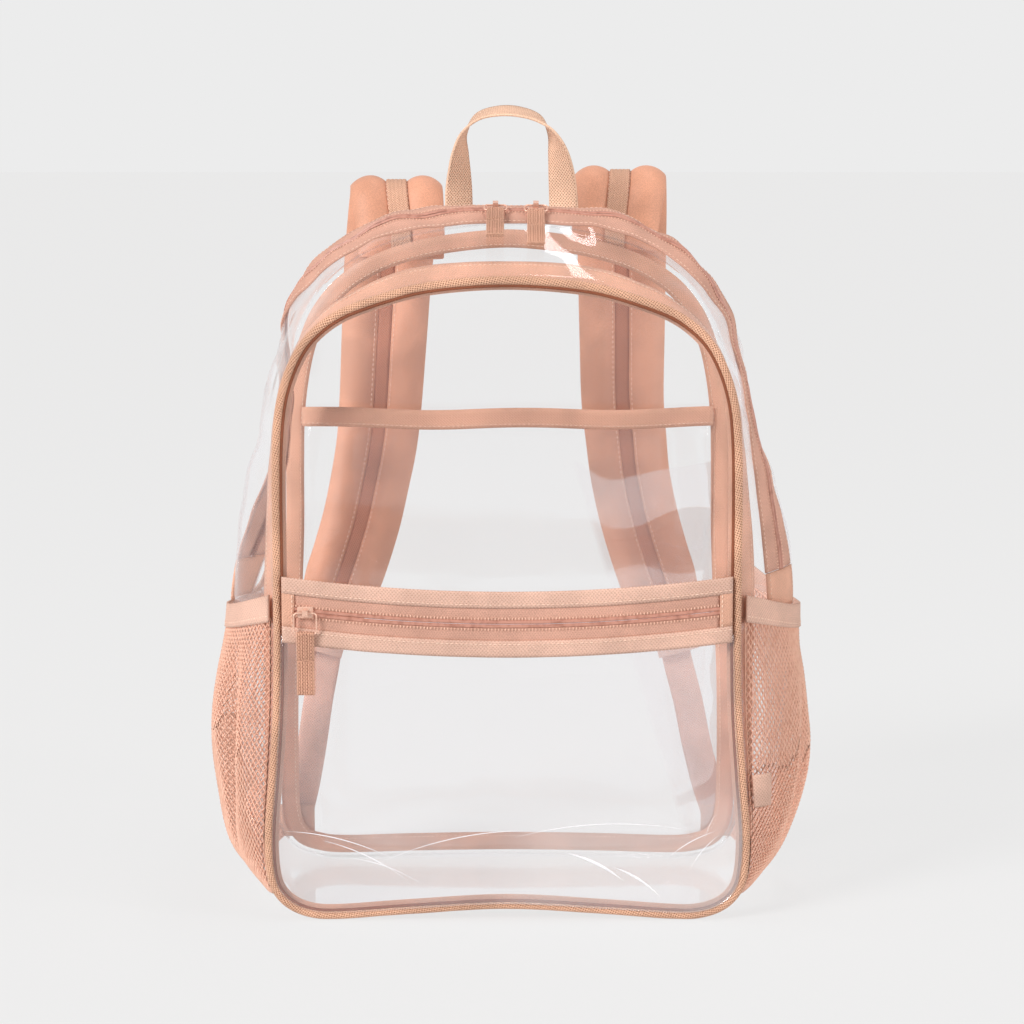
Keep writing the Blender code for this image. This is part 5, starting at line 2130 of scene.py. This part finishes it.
    def build_lower(self) -> None:
        """Make lower webbing and the anchor tab, and give the buckle its finish."""
        word, side = self.side.word, self.side.value
        shape = self.shape
        end = self.middles[-1]
        start = end + Vector((0, 0.0027, -0.002))
        anchor_y = shape.rear_y_seam + shape.back_crown * 0.2 + shape.clear
        finish = Vector((side * self.anchor_x, anchor_y + shape.binding + shape.clear + 0.0008,
                         self.anchor_z))
        route = ((0.0, 0.0, 0.0), (0.20, 0.17, 0.0), (0.40, 0.38, 0.26), (0.60, 0.54, 0.56),
                 (0.80, 0.74, 0.84), (0.92, 0.90, 1.0), (1.0, 1.0, 1.0))
        points = [
            Vector((start.x + (finish.x - start.x) * out, start.y + (finish.y - start.y) * back,
                    start.z + (finish.z - start.z) * drop))
            for drop, out, back in route
        ]
        sides = []
        for number in range(len(points)):
            along = points[min(number + 1, len(points) - 1)] - points[max(number - 1, 0)]
            sides.append(Vector((-along.z, 0, along.x)).normalized())
        bm = ribbon(points, sides, self.lower_width, 8, 8)
        keep(f"lower_strap_{word}", bm, Finishes.lower, [f"lower_webbing_{word}"], 0.0014)

        def place(along: float, across: float) -> Vector:
            """A point of the anchor tab."""
            return Vector((side * self.anchor_x + 0.024 * (along - 0.5), anchor_y + 0.0008,
                           0.016 + 0.022 * across))

        bm = surface(10, 10, place)
        keep(f"anchor_{word}", bm, Finishes.grosgrain, [f"anchor_tab_{word}"], 0.0014)
        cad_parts[f"buckle_{word}"].data.materials.clear()
        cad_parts[f"buckle_{word}"].data.materials.append(Finishes.plastic.material())


@dataclass
class Puller:
    """A wire loop and a folded ribbed tab hung from a slider."""

    name: str
    body: Body
    hinge: Matrix
    loop_length: float
    loop_width: float = 0.0141
    wire: float = 0.0012
    tab_length: float = 0.0385
    tab_thickness: float = 0.0028
    ridges: int = 7
    seam_share: float = 0.43
    corner: float = 0.0022

    def build(self) -> None:
        """Make loop and tab, riding on the puller's own body."""
        half, corner = self.loop_width / 2, self.corner
        corners = []
        for x, y, first in ((1, 0, 0), (1, -1, 270), (-1, -1, 180), (-1, 0, 90)):
            centre = Vector((x * (half - corner), y * self.loop_length + (-y * 2 - 1) * corner, 0))
            for step in range(5):
                angle = radians(first + 90 - step * 22.5)
                corners.append(centre + Vector((cos(angle), sin(angle), 0)) * corner)
        count = len(corners)

        def path(share: float) -> tuple[Vector, Vector, Vector]:
            """Middle and directions of the wire."""
            at = share * count
            low = int(at) % count
            middle = corners[low].lerp(corners[(low + 1) % count], at - int(at))
            ahead = (corners[(low + 1) % count] - corners[low - 1]).normalized()
            return middle, Vector((ahead.y, -ahead.x, 0)), Vector((0, 0, 1))

        loop = tube(count * 3, 10, path, self.wire / 2, self.wire / 2, True)
        loop.transform(self.hinge)
        keep(f"{self.name}_wire", loop, Finishes.metal, [f"{self.name}_loop"], body=self.body)
        self.build_tab()

    def build_tab(self) -> None:
        """Make the folded tab: two ribbed plies round the wire, sewn across once."""
        width = self.loop_width - 3 * self.wire
        ply = self.tab_thickness / 2 - 0.0005
        wrap = self.wire / 2 + 0.0009
        fold = [(self.tab_length * (1 - step / 12), ply) for step in range(12)]
        fold += [(wrap * cos(radians(turn)), wrap * sin(radians(turn))) for turn in range(60, 301, 30)]
        fold += [(self.tab_length * step / 12, -ply) for step in range(1, 13)]
        points = [Vector((0, -self.loop_length - along, lift)) for along, lift in fold]
        last = len(points) - 1

        def place(along: float, across: float) -> Vector:
            """A point of the tab, ridged along its length and pinched at its seam."""
            at = along * last
            point = blend(points, at)
            ahead = heading(points, at, 0.3)
            out = Vector((0, -ahead.z, ahead.y)).normalized()
            ridge = 0.00042 * abs(sin(self.ridges * pi * across))
            seam = -point.y - self.loop_length - self.tab_length * self.seam_share
            pinch = 0.0010 * exp(-((seam / 0.0010) ** 2))
            sign = 1 if point.z > 0 else -1
            return point + Vector((width * (across - 0.5), 0, -pinch * sign)) - out * ridge

        bm = surface(last * 3, self.ridges * 6, place)
        bm.transform(self.hinge)
        keep(f"{self.name}_tape", bm, Finishes.tab, [f"{self.name}_tab"], 0.0009, body=self.body)


@dataclass
class Sliders:
    """The three sliders and their pullers."""

    shape: BagShape
    band: PocketBand
    spread: float = 0.0254
    middle: float = 0.0055
    pocket_x: float = -0.1260
    left_tilt: float = 2.0
    right_tilt: float = 9.0
    axle_lift: float = 0.0022
    main_loop: float = 0.0075
    pocket_loop: float = 0.0135

    def build(self) -> None:
        """Dress the sliders and make their pullers."""
        shape = self.shape
        step_length = (shape.crown_loop[TOP - 1] - shape.crown_loop[TOP]).length
        seat = 0.0020 / 4 + shape.clear + 0.0011
        for word, x, tilt, body in (
            ("left", self.middle - self.spread / 2, self.left_tilt, Body.MAIN_PULL_LEFT),
            ("right", self.middle + self.spread / 2, self.right_tilt, Body.MAIN_PULL_RIGHT),
        ):
            station = TOP - x / step_length
            y = shape.zip_y(station)
            out = shape.out_of_skin(station, y)
            along = shape.skin(station - 0.3, y) - shape.skin(station + 0.3, y)
            along = (along - out * along.dot(out)).normalized()
            placed = frame_at(shape.lifted(station, y, seat), along, out)
            hinge = placed @ Matrix.Translation((0, 0, self.axle_lift))
            hinge = hinge @ Matrix.Rotation(radians(tilt), 4, "X")
            self.dress(f"main_slider_{word}")
            Puller(f"main_pull_{word}", body, hinge, self.main_loop).build()
        z = shape.band_z(self.pocket_x, self.band.coil_top + self.band.coil / 2)
        face = shape.front_face(self.pocket_x, z) - shape.pocket_standoff - 0.0008
        origin = Vector((self.pocket_x, face - shape.clear - 0.0011, z))
        placed = frame_at(origin, Vector((1, 0, 0)), Vector((0, -1, 0)))
        self.dress("pocket_slider")
        hinge = placed @ Matrix.Translation((0, 0, self.axle_lift))
        Puller("pocket_pull", Body.POCKET_PULL, hinge, self.pocket_loop).build()

    @staticmethod
    def dress(node: str) -> None:
        """Give a CAD slider its painted finish."""
        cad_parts[node].data.materials.clear()
        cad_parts[node].data.materials.append(Finishes.metal.material())


@dataclass
class Studio:
    """Pale floor, soft lights and the camera of the front view."""

    pale: float = 0.839
    ambient: float = 0.29
    lens: float = 100.0
    camera_at: Size = (0.003, -1.820, 0.531)
    pitch: float = 8.74
    sensor: float = 36.0
    floor_tone: float = 0.12
    floor_glow: float = 0.730
    aim_height: float = 0.22
    suns: tuple[Sun, ...] = (
        Sun("key", (-1.5, -1.3, 1.5), 20.0, 2.35),
        Sun("fill", (1.8, -1.0, 0.7), 60.0, 0.90),
    )
    boxes: tuple[Box, ...] = (
        Box("box_left", (-1.7, -1.0, 0.9), 0.22, 1.3, 7.5),
        Box("box_right", (1.6, -0.7, 0.8), 0.16, 1.2, 6.0),
        Box("box_top", (0.3, 0.1, 2.0), 1.2, 0.16, 6.0),
    )

    def build(self) -> None:
        """Make floor, world, lights and camera."""
        self.build_floor()
        self.build_world()
        for sun in self.suns:
            light = bpy.data.lights.new(sun.name, "SUN")
            light.angle = radians(sun.angle)
            light.energy = sun.strength
            self.aim(light, sun.place)
        for box in self.boxes:
            light = bpy.data.lights.new(box.name, "AREA")
            light.shape = "RECTANGLE"
            light.size = box.wide
            light.size_y = box.high
            light.energy = box.power
            self.aim(light, box.place)
        lens = bpy.data.cameras.new("front_camera")
        lens.lens = self.lens
        lens.sensor_width = self.sensor
        camera = bpy.data.objects.new("front_camera", lens)
        camera.location = self.camera_at
        camera.rotation_euler = (radians(90 - self.pitch), 0, 0)
        bpy.context.scene.collection.objects.link(camera)
        bpy.context.scene.camera = camera
        bpy.context.scene.view_settings.view_transform = "Standard"
        bpy.context.scene.cycles.transparent_max_bounces = 40

    def aim(self, light: bpy.types.Light, place: Size) -> None:
        """Put a light at a place and turn it to the bag.

        Args:
            light: The light.
            place: Where it goes.
        """
        made = bpy.data.objects.new(light.name, light)
        made.location = place
        toward = Vector((0, 0, self.aim_height)) - Vector(place)
        made.rotation_euler = toward.to_track_quat("-Z", "Y").to_euler()
        bpy.context.scene.collection.objects.link(made)

    def build_floor(self) -> None:
        """Make the pale floor."""
        bm = bmesh.new()
        bmesh.ops.create_grid(bm, x_segments=1, y_segments=1, size=14.0)
        mesh = bpy.data.meshes.new("studio_floor")
        bm.to_mesh(mesh)
        bm.free()
        made, graph, shader = start_material("pale_floor")
        graph.feed(shader, {
            "Base Color": (*(self.floor_tone,) * 3, 1), "Roughness": 0.9, "Specular IOR Level": 0.0,
            "Emission Color": (1, 1, 1, 1), "Emission Strength": self.floor_glow,
        })
        mesh.materials.append(made)
        floor = bpy.data.objects.new("studio_floor", mesh)
        floor.location = (0, 0, -0.0005)
        bpy.context.scene.collection.objects.link(floor)

    def build_world(self) -> None:
        """Make the pale surroundings, dimmer as ambient light than as seen."""
        world = bpy.data.worlds.new("studio")
        bpy.context.scene.world = world
        world.use_nodes = True
        graph = Graph(world.node_tree)
        back = world.node_tree.nodes["Background"]
        light = graph.add("ShaderNodeLightPath")
        soft = (self.ambient, self.ambient * 0.90, self.ambient * 0.85, 1)
        tone = graph.mix(light.outputs["Is Diffuse Ray"], (self.pale, self.pale, self.pale, 1), soft)
        graph.feed(back, {"Color": tone, "Strength": 1.0})


def main() -> None:
    """Build the bag and its studio."""
    logging.basicConfig(level=logging.INFO, format="%(message)s")
    shape = BagShape()
    for side in Side:
        ShoulderStrap(shape, side).build()
    Studio().build()
    gusset = Gusset(shape)
    gusset.build()
    MainZip(shape, gusset).build()
    Panels(shape).build()
    Seams(shape).build()
    band = PocketBand(shape)
    band.build()
    Sleeve(shape).build()
    for side in Side:
        SidePocket(shape, side).build()
    LabelTab(shape).build()
    Handle(shape).build()
    Sliders(shape, band).build()


if __name__ == "__main__":
    main()
